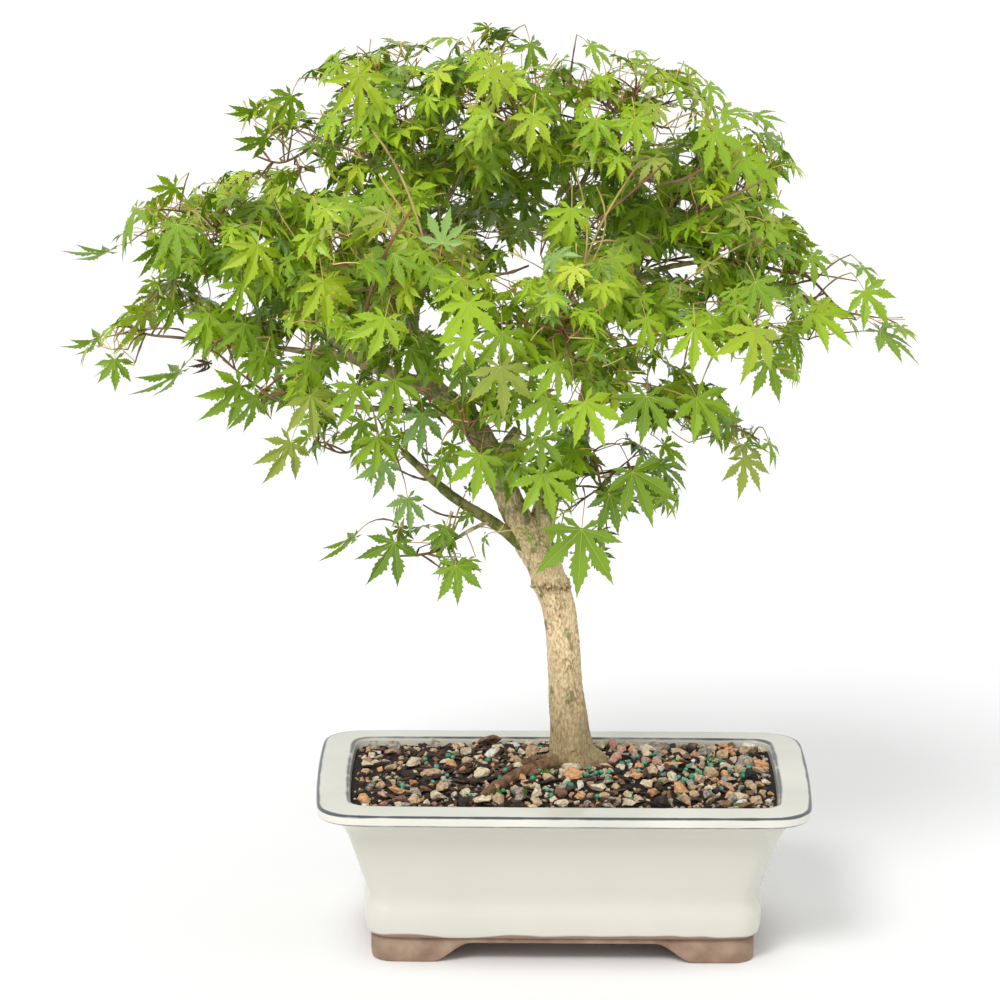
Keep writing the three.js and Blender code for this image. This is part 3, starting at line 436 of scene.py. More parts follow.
POT_LOW, POT_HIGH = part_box("pot")
POT_MIDDLE = (np.array(POT_LOW) + np.array(POT_HIGH)) / 2 / MM
SHIFT = np.array([POT_MIDDLE[0], POT_MIDDLE[1], 0.0])


def to_metres(points):
    """Points in millimetres in the pot's frame, as metres in the part's frame."""
    return (np.asarray(points, float) + SHIFT) * MM


def unit(v):
    return v / max(np.linalg.norm(v), 1e-9)


def lerp(a, b, t):
    return a + (b - a) * t


def spread(rng, amount):
    return rng.uniform(-amount, amount)


def jitter(rng, amount):
    """A small step with each part at random up to the amount."""
    return np.array([spread(rng, amount) for _ in range(3)])


def gauss_jitter(rng, width):
    return np.array([rng.gauss(0, width) for _ in range(3)])


def add_object(name, data):
    made = bpy.data.objects.new(name, data)
    bpy.context.scene.collection.objects.link(made)
    return made


class Piece:
    """Gathers points and faces, and becomes one mesh that rides on the plant's body."""

    def __init__(self):
        self.points = []
        self.faces = []
        self.kinds = []
        self.count = 0

    def add(self, points, faces, kind=0):
        """Adds points, and faces of one material between them."""
        self.add_faces(faces, kind, self.count)
        self.points.append(np.asarray(points, float))
        self.count += len(points)

    def add_faces(self, faces, kind, first):
        """Adds faces that count their points from the first."""
        self.faces += [tuple(i + first for i in face) for face in faces]
        self.kinds += [kind] * len(faces)

    def build(self, name, materials, slot, smooth=True):
        mesh = bpy.data.meshes.new(name)
        mesh.from_pydata(to_metres(np.concatenate(self.points)).tolist(), [], self.faces)
        mesh.polygons.foreach_set("material_index", self.kinds)
        mesh.polygons.foreach_set("use_smooth", [smooth] * len(self.faces))
        for material in materials:
            mesh.materials.append(material)
        mesh.update()
        piece = add_object(name, mesh)
        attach(piece, "root")
        return piece


# Curves and tubes

CURVE_STEPS = 24


def smooth_path(knots):
    """A centripetal Catmull-Rom curve through the knots, as a dense row of points."""
    knots = [np.array(k, float) for k in knots]
    knots = [2 * knots[0] - knots[1], *knots, 2 * knots[-1] - knots[-2]]
    t = np.linspace(0, 1, CURVE_STEPS, endpoint=False)[:, None]
    path = []
    for p0, p1, p2, p3 in zip(knots, knots[1:], knots[2:], knots[3:]):
        d0, d1, d2 = (math.sqrt(np.linalg.norm(b - a)) for a, b in ((p0, p1), (p1, p2), (p2, p3)))
        m1 = ((p1 - p0) / d0 - (p2 - p0) / (d0 + d1) + (p2 - p1) / d1) * d1
        m2 = ((p2 - p1) / d1 - (p3 - p1) / (d1 + d2) + (p3 - p2) / d2) * d1
        path.append(p1 + m1 * t + (3 * (p2 - p1) - 2 * m1 - m2) * t**2 + (2 * (p1 - p2) + m1 + m2) * t**3)
    path.append(knots[-2][None])
    return np.concatenate(path)


def path_length(path):
    return np.linalg.norm(np.diff(path, axis=0), axis=1).sum()


def along(path, parts):
    """The points at the given parts of a path's length."""
    run = np.concatenate([[0], np.cumsum(np.linalg.norm(np.diff(path, axis=0), axis=1))])
    at = np.clip(np.atleast_1d(parts), 0, 1) * run[-1]
    return np.stack([np.interp(at, run, path[:, k]) for k in range(3)], axis=1)


def spot(path, part):
    """The point at one part of a path's length."""
    return along(path, part)[0]


def tube_frames(points):
    """Tangents and two sides at each point, turned as little as possible."""
    tangents = np.gradient(points, axis=0)
    tangents /= np.linalg.norm(tangents, axis=1)[:, None] + 1e-12
    side = np.array([1.0, 0.0, 0.0]) if abs(tangents[0][0]) < 0.9 else np.array([0.0, 1.0, 0.0])
    sides = []
    for tangent in tangents:
        side = unit(side - tangent * side.dot(tangent))
        sides.append(side)
    sides = np.array(sides)
    return tangents, sides, np.cross(tangents, sides)


def ring_faces(rings, count):
    faces = []
    for r in range(rings - 1):
        for i in range(count):
            j = (i + 1) % count
            faces.append((r * count + i, r * count + j, (r + 1) * count + j, (r + 1) * count + i))
    return faces


def add_tube(piece, points, radii, sides, kind=0):
    """A round skin along points, closed by a point at each end. Radii are one or a ring of them per point."""
    points = np.asarray(points, float)
    radii = np.asarray(radii, float).reshape(len(points), -1, 1)
    _, across, other = tube_frames(points)
    turn = np.arange(sides) * 2 * math.pi / sides
    ring = across[:, None] * np.cos(turn)[None, :, None] + other[:, None] * np.sin(turn)[None, :, None]
    skin = (points[:, None] + ring * radii).reshape(-1, 3)
    start, end = len(skin), len(skin) + 1
    last = (len(points) - 1) * sides
    faces = ring_faces(len(points), sides)
    faces += [(start, (i + 1) % sides, i) for i in range(sides)]
    faces += [(end, last + i, last + (i + 1) % sides) for i in range(sides)]
    piece.add(np.concatenate([skin, points[:1], points[-1:]]), faces, kind)


# Materials

def shader(name, color, roughness, **values):
    """A material with its Principled shader's own sockets set."""
    material = bpy.data.materials.new(name)
    material.use_nodes = True
    nodes = material.node_tree.nodes
    principled = nodes["Principled BSDF"]
    principled.inputs["Base Color"].default_value = (*color, 1)
    principled.inputs["Roughness"].default_value = roughness
    for key, value in values.items():
        principled.inputs[key.replace("_", " ")].default_value = value
    return material, principled


def link(material, source, target):
    material.node_tree.links.new(source, target)


def add_node(material, kind, **values):
    node = material.node_tree.nodes.new(kind)
    for key, value in values.items():
        if key in node.inputs:
            node.inputs[key].default_value = value
        else:
            setattr(node, key, value)
    return node


def add_place(material):
    """The place on the object, in metres."""
    return add_node(material, "ShaderNodeTexCoord").outputs["Object"]


def add_attribute(material, name):
    return add_node(material, "ShaderNodeAttribute", attribute_name=name).outputs["Fac"]


def add_noise(material, scale, detail, stretch=(1, 1, 1)):
    """Noise over the object's own place, with features about 1 / scale metres across."""
    mapping = add_node(material, "ShaderNodeMapping", Scale=stretch)
    texture = add_node(material, "ShaderNodeTexNoise", Scale=scale, Detail=detail)
    link(material, add_place(material), mapping.inputs["Vector"])
    link(material, mapping.outputs["Vector"], texture.inputs["Vector"])
    return texture.outputs["Fac"]


def add_ramp(material, factor, stops):
    ramp = add_node(material, "ShaderNodeValToRGB")
    elements = ramp.color_ramp.elements
    while len(elements) < len(stops):
        elements.new(0.5)
    for element, (position, color) in zip(elements, stops):
        element.position = position
        element.color = (*color, 1)
    link(material, factor, ramp.inputs["Fac"])
    return ramp.outputs["Color"]


def add_mask(material, factor, first, last, most=1.0):
    """Black up to the first value, and grey up to the last."""
    return add_ramp(material, factor, [(first, (0,) * 3), (last, (most,) * 3)])


def add_mix(material, factor, first, second):
    mix = add_node(material, "ShaderNodeMix", data_type="RGBA")
    link(material, factor, mix.inputs["Factor"])
    for source, target in ((first, mix.inputs["A"]), (second, mix.inputs["B"])):
        if isinstance(source, tuple):
            target.default_value = (*source, 1)
        else:
            link(material, source, target)
    return mix.outputs["Result"]


def add_math(material, operation, first, second):
    """One sum or product of two values or sockets."""
    node = add_node(material, "ShaderNodeMath", operation=operation)
    for value, socket in zip((first, second), node.inputs):
        if isinstance(value, (int, float)):
            socket.default_value = value
        else:
            link(material, value, socket)
    return node.outputs["Value"]


def add_bump(material, principled, height, strength, distance_mm):
    bump = add_node(material, "ShaderNodeBump", Strength=strength, Distance=distance_mm * MM)
    link(material, height, bump.inputs["Height"])
    link(material, bump.outputs["Normal"], principled.inputs["Normal"])


def rgb(red, green, blue):
    """A screen colour from 0 to 255, as the linear colour that a shader takes."""
    return tuple((c / 255 / 12.92) if c / 255 <= 0.04045 else ((c / 255 + 0.055) / 1.055) ** 2.4
                 for c in (red, green, blue))


def speckled(name, first, second, roughness, grain, stops, bump=None):
    """Two colours dealt out by noise. The relief is finer noise: scale, detail, strength and depth."""
    material, principled = shader(name, first, roughness)
    color = add_ramp(material, add_noise(material, *grain), list(zip(stops, (first, second))))
    link(material, color, principled.inputs["Base Color"])
    if bump:
        add_bump(material, principled, add_noise(material, *bump[:2]), *bump[2:])
    return material


def clay_material():
    return speckled("raw_clay", rgb(131, 106, 89), rgb(173, 147, 124), 0.88,
                    (70, 5), (0.3, 0.7), (900, 4, 0.5, 0.4))


def soil_material():
    # Near-black soil: the soil's own dark colour, and painted shade in the gaps between the stones
    return speckled("soil_with_gap_shade", rgb(11, 8, 6), rgb(48, 35, 26), 0.95,
                    (260, 4), (0.35, 0.72), (320, 5, 0.9, 2))


def twig_material(name, first, second, roughness=0.7):
    return speckled(name, first, second, roughness, (45, 2), (0.4, 0.62), (900, 2, 0.3, 0.2))


def stone_material(name, first, second, roughness=0.8):
    return speckled(name, first, second, roughness, (500, 4), (0.36, 0.64), (700, 4, 0.5, 0.4))


def leaf_material(name, color, roughness=0.38):
    material, principled = shader(name, color, roughness, Specular_IOR_Level=0.45)
    add_bump(material, principled, add_noise(material, 420, 2), 0.25, 0.3)
    return material


# Glaze: where its lower edge runs and how far that wavers, and the heights of the painted shade on the wall,
# which ends where the wall ends and the rim starts, each with the height that its ramp spans
GLAZE_EDGE = (13.4, 14.4)
GLAZE_WAVER = 9
EDGE_SCALE = 40
WALL_SHADE_HEIGHTS = (30, 88, 95.5, 96.5)
WALL_SHADE_SCALE = 100


def glaze_material():
    """Cloudy cream glaze, plainer and darker on the wall by painted shade, with worn blue lines, over a rim
    of raw clay at its foot.
    """
    material, principled = shader("cream_glaze", rgb(228, 228, 218), 0.16, IOR=1.5)
    cloud = add_noise(material, 16, 2)
    base = add_ramp(material, cloud, [(0.3, rgb(212, 212, 201)), (0.7, rgb(229, 227, 215))])
    worn = add_math(material, "ADD", add_math(material, "MULTIPLY", add_noise(material, 48, 4), 1.7), 0.1)
    line = add_math(material, "MULTIPLY", add_attribute(material, "line"), worn)
    painted = add_mask(material, line, 0.28, 0.62, 0.92)
    split = add_node(material, "ShaderNodeSeparateXYZ")
    link(material, add_place(material), split.inputs["Vector"])
    height = split.outputs["Z"]
    # Painted shade on the wall: full from 88 mm up to just under the lip, fading to 0.7 at 30 mm and below,
    # none on the rim
    shades = ((0.7,) * 3, (1,) * 3, (1,) * 3, (0,) * 3)
    wall_shade = add_ramp(material, add_math(material, "MULTIPLY", height, 1 / MM / WALL_SHADE_SCALE),
                    [(z / WALL_SHADE_SCALE, shade) for z, shade in zip(WALL_SHADE_HEIGHTS, shades)])
    # The cream mixed toward the painted shade's greyer colour on the wall, then the worn blue lines over both
    lined_and_shaded = add_mix(material, painted, add_mix(material, wall_shade, base, rgb(207, 206, 194)), rgb(48, 58, 72))
    waver = add_math(material, "MULTIPLY", add_noise(material, 26, 1), GLAZE_WAVER * MM)
    edge = add_math(material, "MULTIPLY", add_math(material, "SUBTRACT", height, waver), 1 / MM / EDGE_SCALE)
    glazed = add_mask(material, edge, *(z / EDGE_SCALE for z in GLAZE_EDGE))
    link(material, add_mix(material, glazed, rgb(148, 122, 106), lined_and_shaded), principled.inputs["Base Color"])
    link(material, add_mix(material, glazed, (0.85,) * 3, (0.15,) * 3), principled.inputs["Roughness"])
    add_bump(material, principled, add_noise(material, 60, 2), 0.25, 0.5)
    return material


# Bark: its flakes from dark to light, darker and greener bark higher up, stains near the soil and the roots'
# knots
FLAKE_SHADES = (0.72, 0.66, 0.6)
FLAKE_LIGHT = 1.17
HIGH_BARK_FACTORS = (0.35, 0.37, 0.29)
HIGH_BARK_SHARE = 0.6
STAIN_COLORS = [(0.36, rgb(92, 78, 46)), (0.64, rgb(132, 115, 72))]
KNOT_COLORS = [(0.38, rgb(78, 54, 38)), (0.62, rgb(142, 106, 76))]


def bark_material(name, plate, groove, patch, patch_share):
    """Bark whose grooves are darker, with smooth patches of another colour, more of them higher up."""
    material, principled = shader(name, plate, 0.86)
    grain = add_noise(material, 750, 3, (1, 1, 0.42))
    lighter = tuple(min(1, c * FLAKE_LIGHT) for c in plate)
    darker = tuple(c * s for c, s in zip(plate, FLAKE_SHADES))
    flakes = add_ramp(material, grain, [(0.35, darker), (0.6, lighter)])
    cut = add_mix(material, add_attribute(material, "groove"), flakes, groove)
    # Darker and greener higher up, from below the fork into the crown
    high = add_attribute(material, "green")
    high_bark = tuple(c * s for c, s in zip(plate, HIGH_BARK_FACTORS))
    darkened_high = add_mix(material, add_math(material, "MULTIPLY", high, HIGH_BARK_SHARE), cut, high_bark)
    blotch = add_math(material, "ADD", add_noise(material, 130, 3, (1, 1, 0.6)),
                      add_math(material, "MULTIPLY", high, 0.14))
    edge = 0.64 - 0.2 * patch_share
    blotched = add_mix(material, add_mask(material, blotch, edge, edge + 0.06, 0.8), darkened_high, patch)
    low = add_attribute(material, "low")
    stains = add_ramp(material, grain, STAIN_COLORS)
    stained = add_mix(material, add_mask(material, low, 0, 0.5, 0.9), blotched, stains)
    knots = add_ramp(material, add_noise(material, 240, 4), KNOT_COLORS)
    color = add_mix(material, add_mask(material, low, 0.5, 1, 0.9), stained, knots)
    link(material, color, principled.inputs["Base Color"])
    add_bump(material, principled, grain, 0.5, 0.5)
    return material


# Pot, feet and soil

def pot_ring(inset_end, inset_front, corner, corner_steps, side_steps):
    """A rounded rectangle in x and y whose sides bow out a little."""
    half_x = POT_LENGTH / 2 - inset_end
    half_y = POT_DEPTH / 2 - inset_front
    ring = []
    for quarter, (sx, sy) in enumerate(((1, 1), (-1, 1), (-1, -1), (1, -1))):
        for k in range(corner_steps + 1):
            angle = (quarter + k / corner_steps) * math.pi / 2
            ring.append((sx * (half_x - corner) + corner * math.cos(angle),
                         sy * (half_y - corner) + corner * math.sin(angle)))
        long_side = quarter % 2 == 0
        run = (half_x if long_side else half_y) - corner
        bow = LONG_SIDE_BOW if long_side else SHORT_SIDE_BOW
        for k in range(1, side_steps):
            t = 1 - 2 * k / side_steps
            out = bow * (1 - t * t)
            x, y = (run * t, half_y + out) if long_side else (half_x + out, run * t)
            ring.append((sx * x, sy * y))
    return ring


def make_pot():
    """The glazed bowl from its rings, rounded off, with its blue lines kept for its colour."""
    points = []
    lines = []
    for z, end, front, corner, line in POT_WALL:
        ring = pot_ring(end, front, corner, POT_CORNER_STEPS, POT_SIDE_STEPS)
        points += [(x, y, z) for x, y in ring]
        lines += [line] * len(ring)
    first, last = range(len(ring)), range(len(points) - len(ring), len(points))
    piece = Piece()
    piece.add(points, [*ring_faces(len(POT_WALL), len(ring)), tuple(first)[::-1], tuple(last)])
    pot = piece.build("glazed_pot", [glaze_material()], "glaze")
    set_attribute(pot.data, "line", lines)
    rounding = pot.modifiers.new("rounding", "SUBSURF")
    rounding.levels = rounding.render_levels = 2
    bake_modifiers(pot)
    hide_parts("pot")


def set_attribute(mesh, name, values):
    mesh.attributes.new(name, "FLOAT", "POINT").data.foreach_set("value", values)


def bake_modifiers(piece):
    """Puts what the modifiers make into the piece's own mesh."""
    view = bpy.context.evaluated_depsgraph_get()
    made = bpy.data.meshes.new_from_object(piece.evaluated_get(view))
    piece.modifiers.clear()
    piece.data = made
    made.polygons.foreach_set("use_smooth", [True] * len(made.polygons))
    made.update()


def arch_height(distance, arch):
    """The height of the opening between two feet at a distance from the middle of the side."""
    floor_half, top_half = arch
    t = min(1, max(0, (floor_half - abs(distance)) / (floor_half - top_half)))
    return ARCH_RISE * t * t * (3 - 2 * t)


def make_feet():
    """One ring of raw clay under the pot, opened by an arch between each two feet."""
    outer = pot_ring(FOOT_INSET_END, FOOT_INSET_FRONT, FOOT_CORNER, FOOT_CORNER_STEPS, FOOT_SIDE_STEPS)
    inner = pot_ring(FOOT_INSET_END + FOOT_THICKNESS, FOOT_INSET_FRONT + FOOT_THICKNESS,
                     FOOT_INNER_CORNER, FOOT_CORNER_STEPS, FOOT_SIDE_STEPS)
    half_y = POT_DEPTH / 2 - FOOT_INSET_FRONT
    points = []
    for (x, y), (u, v) in zip(outer, inner):
        height = arch_height(x, FRONT_ARCH) if abs(y) > half_y - 1 else arch_height(y, END_ARCH)
        edge = min(FOOT_EDGE, 0.5 * (FOOT_HEIGHT - height))
        toward = unit(np.array([u - x, v - y]))
        outside = ((0, FOOT_HEIGHT), (0, height + edge), (edge * 0.35, height + edge * 0.3), (edge, height))
        points += [(x + toward[0] * out, y + toward[1] * out, z) for out, z in outside]
        points += [(u, v, height), (u, v, FOOT_HEIGHT)]
    rows = ring_faces(len(outer) + 1, len(outside) + 2)
    piece = Piece()
    piece.add(points, [tuple(p % len(points) for p in face) for face in rows])
    feet = piece.build("clay_feet", [clay_material()], "clay")
    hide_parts("foot_front_left", "foot_front_right", "foot_back_left", "foot_back_right")


def soil_ground():
    """A function that gives the height of the soil node at x and y, in millimetres."""
    soil = NODES["soil"]
    tree = BVHTree.FromPolygons([v.co for v in soil.data.vertices], [p.vertices for p in soil.data.polygons])

    def height(x, y):
        above = Vector(to_metres((x, y, RAY_HEIGHT)))
        hit = tree.ray_cast(above, Vector((0, 0, -1)))[0]
        return hit.z / MM if hit else SOIL_HEIGHT

    return height


def inside_soil(x, y, margin):
    half_x, half_y = SOIL_HALF[0] - margin, SOIL_HALF[1] - margin
    dx = max(abs(x) - (half_x - SOIL_CORNER), 0)
    dy = max(abs(y) - (half_y - SOIL_CORNER), 0)
    return abs(x) < half_x and abs(y) < half_y and math.hypot(dx, dy) < SOIL_CORNER


def ball(detail):
    """The points and triangles of a round ball of radius 1."""
    t = (1 + math.sqrt(5)) / 2
    points = [(-1, t, 0), (1, t, 0), (-1, -t, 0), (1, -t, 0), (0, -1, t), (0, 1, t),
              (0, -1, -t), (0, 1, -t), (t, 0, -1), (t, 0, 1), (-t, 0, -1), (-t, 0, 1)]
    points = [unit(np.array(p, float)) for p in points]
    faces = [(0, 11, 5), (0, 5, 1), (0, 1, 7), (0, 7, 10), (0, 10, 11), (1, 5, 9), (5, 11, 4), (11, 10, 2),
             (10, 7, 6), (7, 1, 8), (3, 9, 4), (3, 4, 2), (3, 2, 6), (3, 6, 8), (3, 8, 9), (4, 9, 5),
             (2, 4, 11), (6, 2, 10), (8, 6, 7), (9, 8, 1)]
    for _ in range(detail):
        middles = {}
        finer = []
        for a, b, c in faces:
            new = []
            for edge in ((a, b), (b, c), (c, a)):
                key = tuple(sorted(edge))
                if key not in middles:
                    middles[key] = len(points)
                    points.append(unit(points[key[0]] + points[key[1]]))
                new.append(middles[key])
            finer += [(a, new[0], new[2]), (b, new[1], new[0]), (c, new[2], new[1]), tuple(new)]
        faces = finer
    return np.array(points), faces


def stone_shape(rng, corners, cuts):
    """A chipped stone: the hull of a few points round a ball, with its faces cut up and made uneven."""
    made = bmesh.new()
    flat = np.array([1, rng.uniform(0.62, 0.95), rng.uniform(0.5, 0.78)])
    for _ in range(corners):
        made.verts.new(unit(gauss_jitter(rng, 1)) * flat * rng.uniform(0.82, 1.06))
    hull = bmesh.ops.convex_hull(made, input=made.verts)
    inner = [v for v in hull["geom_interior"] if isinstance(v, bmesh.types.BMVert)]
    bmesh.ops.delete(made, geom=inner, context="VERTS")
    if cuts:
        bmesh.ops.subdivide_edges(made, edges=made.edges, cuts=cuts, use_grid_fill=True)
        for vertex in made.verts:
            lump = noise.noise(vertex.co * 2.3 + Vector((corners, 0, 0)))
            vertex.co += vertex.co.normalized() * lump * 0.16
    bmesh.ops.triangulate(made, faces=made.faces)
    made.verts.index_update()
    points = np.array([v.co[:] for v in made.verts])
    faces = [tuple(v.index for v in f.verts) for f in made.faces]
    made.free()
    return points, faces


def random_turn(rng, tilt):
    """A turn about the upright, with a lean of up to the tilt."""
    turn = Matrix.Rotation(rng.uniform(0, 2 * math.pi), 3, "Z")
    lean = Matrix.Rotation(spread(rng, tilt), 3, "X")
    return np.array(turn @ lean @ Matrix.Rotation(rng.uniform(0, 2 * math.pi), 3, "Z"))


def from_trunk(x, y):
    """How far a place on the soil is from the trunk's middle."""
    return math.hypot(x - TRUNK_MIDDLE[0], y - TRUNK_MIDDLE[1])


def scatter(rng, sizes):
    """Places for stones of falling size that keep clear of each other: x, y and size."""
    placed = []
    grid = {}
    steps = list(itertools.product((-1, 0, 1), repeat=2))
    for low, high, count in sizes:
        for _ in range(count * 3):
            if count == 0:
                break
            size = rng.uniform(low, high)
            x, y = spread(rng, SOIL_HALF[0]), spread(rng, SOIL_HALF[1])
            if not inside_soil(x, y, size / 2) or from_trunk(x, y) < TRUNK_CLEAR + size / 2:
                continue
            if x < SPARSE_LEFT and y > SPARSE_FRONT and rng.random() < SPARSE_SHARE:
                continue
            col, row = int(x // GRAVEL_CELL), int(y // GRAVEL_CELL)
            near = [stone for i, j in steps for stone in grid.get((col + i, row + j), ())]
            if any(math.hypot(x - a, y - b) < GRAVEL_OVERLAP * (size + s) / 2 for a, b, s in near):
                continue
            placed.append((x, y, size))
            grid.setdefault((col, row), []).append((x, y, size))
            count -= 1
    return placed


# Stones: name, two colours and share
STONE_KINDS = [
    ("tan_stone", rgb(216, 188, 150), rgb(166, 136, 104), 7),
    ("cream_stone", rgb(232, 218, 190), rgb(190, 170, 138), 6),
    ("grey_stone", rgb(184, 172, 156), rgb(120, 110, 98), 5),
    ("brown_stone", rgb(150, 114, 86), rgb(98, 72, 54), 3),
    ("orange_stone", rgb(228, 176, 124), rgb(184, 132, 90), 2.6),
    ("dark_stone", rgb(58, 48, 42), rgb(30, 24, 20), 3),
    ("pink_stone", rgb(214, 168, 144), rgb(164, 122, 102), 1.6),
    ("white_stone", rgb(240, 236, 226), rgb(206, 198, 184), 1),
]


# Shapes of stones: the size above which each kind is used, its corners and cuts, and how many there are
STONE_SHAPES = [(8, 15, 2, 10), (4.5, 13, 1, 12), (0, 10, 0, 10)]


def make_gravel(ground):
    """Loose stones of eight colours and five ranges of size."""
    rng = random.Random(5)
    shapes = [(least, [stone_shape(rng, corners, cuts) for _ in range(count)])
              for least, corners, cuts, count in STONE_SHAPES]
    weights = [kind[3] for kind in STONE_KINDS]
    piece = Piece()
    for x, y, size in scatter(rng, GRAVEL_SIZES):
        shape, faces = rng.choice(next(made for least, made in shapes if size > least))
        kind = rng.choices(range(len(STONE_KINDS)), weights)[0]
        z = ground(x, y) + size * rng.uniform(0.1, 0.3)
        piece.add(shape @ random_turn(rng, 0.5).T * size / 2 + (x, y, z), faces, kind)
    materials = [stone_material(name, first, second) for name, first, second, _ in STONE_KINDS]
    piece.build("gravel", materials, "soil", smooth=False)


def make_chips(ground):
    """Dark slivers of bark among the stones, more of them on the left."""
    rng = random.Random(8)
    shape, faces = ball(1)
    half_x, half_y = (half - margin for half, margin in zip(SOIL_HALF, CHIP_MARGINS))
    piece = Piece()
    for _ in range(CHIPS):
        x, y = rng.triangular(-half_x, half_x, CHIP_MIDDLE), spread(rng, half_y)
        if from_trunk(x, y) < TRUNK_CLEAR + LOOSE_CLEAR:
            continue
        sizes = np.array([rng.uniform(*size) for size in CHIP_SIZES])
        z = ground(x, y) + rng.uniform(0.8, 2.6)
        piece.add((shape * sizes) @ random_turn(rng, 0.35).T + (x, y, z), faces, rng.randrange(2))
    materials = [stone_material("dark_chip", rgb(58, 40, 30), rgb(34, 24, 19), 0.9),
                 stone_material("brown_chip", rgb(98, 70, 50), rgb(64, 46, 34), 0.9)]
    piece.build("bark_chips", materials, "soil", smooth=False)


def make_prills(ground):
    """Green beads of plant food, most of them on the right."""
    rng = random.Random(12)
    shape, faces = ball(2)
    piece = Piece()
    placed = 0
    while placed < PRILLS:
        x, y = (rng.triangular(PRILL_MARGIN - half, half - PRILL_MARGIN, middle)
                for half, middle in zip(SOIL_HALF, PRILL_MIDDLE))
        if from_trunk(x, y) < TRUNK_CLEAR + LOOSE_CLEAR:
            continue
        size = rng.uniform(*PRILL_SIZE)
        z = ground(x, y) + size * 0.5 + rng.uniform(0.4, 2)
        piece.add(shape * size / 2 + (x, y, z), faces)
        placed += 1
    green = speckled("green_prill", rgb(26, 120, 92), rgb(84, 184, 150), 0.35, (300, 2), (0.35, 0.65))
    piece.build("prills", [green], "soil")


def make_moss(ground):
    """Tufts of thin three-sided blades."""
    rng = random.Random(3)
    piece = Piece()
    for x, y in MOSS_TUFTS:
        for _ in range(MOSS_BLADES):
            foot = np.array([x + rng.gauss(0, 1.9), y + rng.gauss(0, 1.6), 0])
            foot[2] = ground(foot[0], foot[1]) + rng.uniform(0.5, 2.5)
            lean = np.array([rng.gauss(0, 0.5), rng.gauss(0, 0.5), 1])
            tip = foot + unit(lean) * rng.uniform(1.6, 3.2)
            side = unit(np.cross(tip - foot, (rng.gauss(0, 1), rng.gauss(0, 1), 0.1))) * 0.5
            other = unit(np.cross(tip - foot, side)) * 0.5
            piece.add([foot + side, foot - side * 0.5 + other, foot - side * 0.5 - other, tip],
                      [(0, 1, 3), (1, 2, 3), (2, 0, 3)])
    green = twig_material("moss_green", rgb(104, 142, 34), rgb(66, 104, 26), 0.9)
    piece.build("moss", [green], "soil", smooth=False)


# Trunk, boughs and roots

class Limb:
    """A limb's middle line as points a few millimetres apart, with the radius at each."""

    def __init__(self, name, path, radii):
        self.name = name
        self.length = path_length(path)
        count = max(6, round(self.length / LIMB_STEP))
        parts = np.linspace(0, 1, count + 1)
        self.points = along(path, parts)
        self.radii = np.interp(parts, np.linspace(0, 1, len(radii)), radii)
        self.direction = unit(self.points[-1] - self.points[-2])


def make_limbs(ground):
    """The trunk, each bough from the limb that carries it, and the roots that run over the soil."""
    path = smooth_path([station[:3] for station in TRUNK])
    trunk = Limb("trunk", path, [0, 1])
    trunk.radii = np.interp(trunk.points[:, 2], [s[2] for s in TRUNK], [s[3] for s in TRUNK])
    limbs = {"trunk": trunk}
    swell = np.linspace(0, 1, 41)
    for name, parent, part, bends, start_radius, tip_radius in BOUGHS:
        path = smooth_path([spot(limbs[parent].points, part), *bends])
        radii = lerp(start_radius, tip_radius, swell) * (1 + (START_SWELL - 1) * np.clip(1 - 4 * swell, 0, 1))
        limbs[name] = Limb(name, path, radii)
    for name, way, start_radius, end_radius in ROOTS:
        flat = smooth_path([(x, y, 0) for x, y in way])
        root = Limb(name, flat, [start_radius, end_radius])
        parts = np.linspace(0, 1, len(root.points))
        for part, point, radius in zip(parts, root.points, root.radii):
            dip = ROOT_DIP * max(0, part - ROOT_DIP_START) / (1 - ROOT_DIP_START)
            point[2] = ground(point[0], point[1]) + radius * (ROOT_REST - dip)
        limbs[name] = root
    return limbs


def flare(limb):
    """The radii round each station: the trunk's foot has ridges that fade upward."""
    if limb.name != "trunk":
        return limb.radii
    turn = np.arange(LIMB_SIDES) * 2 * math.pi / LIMB_SIDES
    fade = np.clip(1 - (limb.points[:, 2] - TRUNK_FOOT) / FLARE_FADE, 0, 1)[:, None]
    return limb.radii[:, None] * (1 + FLARE_DEPTH * fade * np.cos(FLARE_RIDGES * turn + FLARE_TURN))


# Bark: the cells of its relief round and along a limb, its cracks and its depth. Each limb's run starts
# a step after the last one's, and vertices go through in blocks.
BARK_CELL = (1.5, 5.5)
FINE_BARK_CELL = (0.8, 2.4)
BROAD_BARK_CELL = (6, 24)
CRACK_WIDTH = 0.16
BARK_DEPTH = 0.45
BARK_SWELL = 0.07
ROOT_SWELL = 0.42
RUN_STEP = 400
VERTEX_BLOCK = 4000

# The ring under the fork, the rough bark above it and the calm bark at the trunk's foot
COLLAR_HEIGHT = 224
COLLAR_HALF = 3.2
COLLAR_DEPTH = 1.7
UPPER_ROUGHNESS = 2.1
UPPER_RANGE = 60
CALM_HEIGHT = 118
CALM_RANGE = 34
CALM_LEAST = 0.25

# How high the foot's stains reach, where a root's knots start, and where the bark turns darker and greener
LOW_REACH = 78
LOW_FADE = 82
KNOT_START = 14
KNOT_FADE = 12
GREEN_START = 215
GREEN_FADE = 90


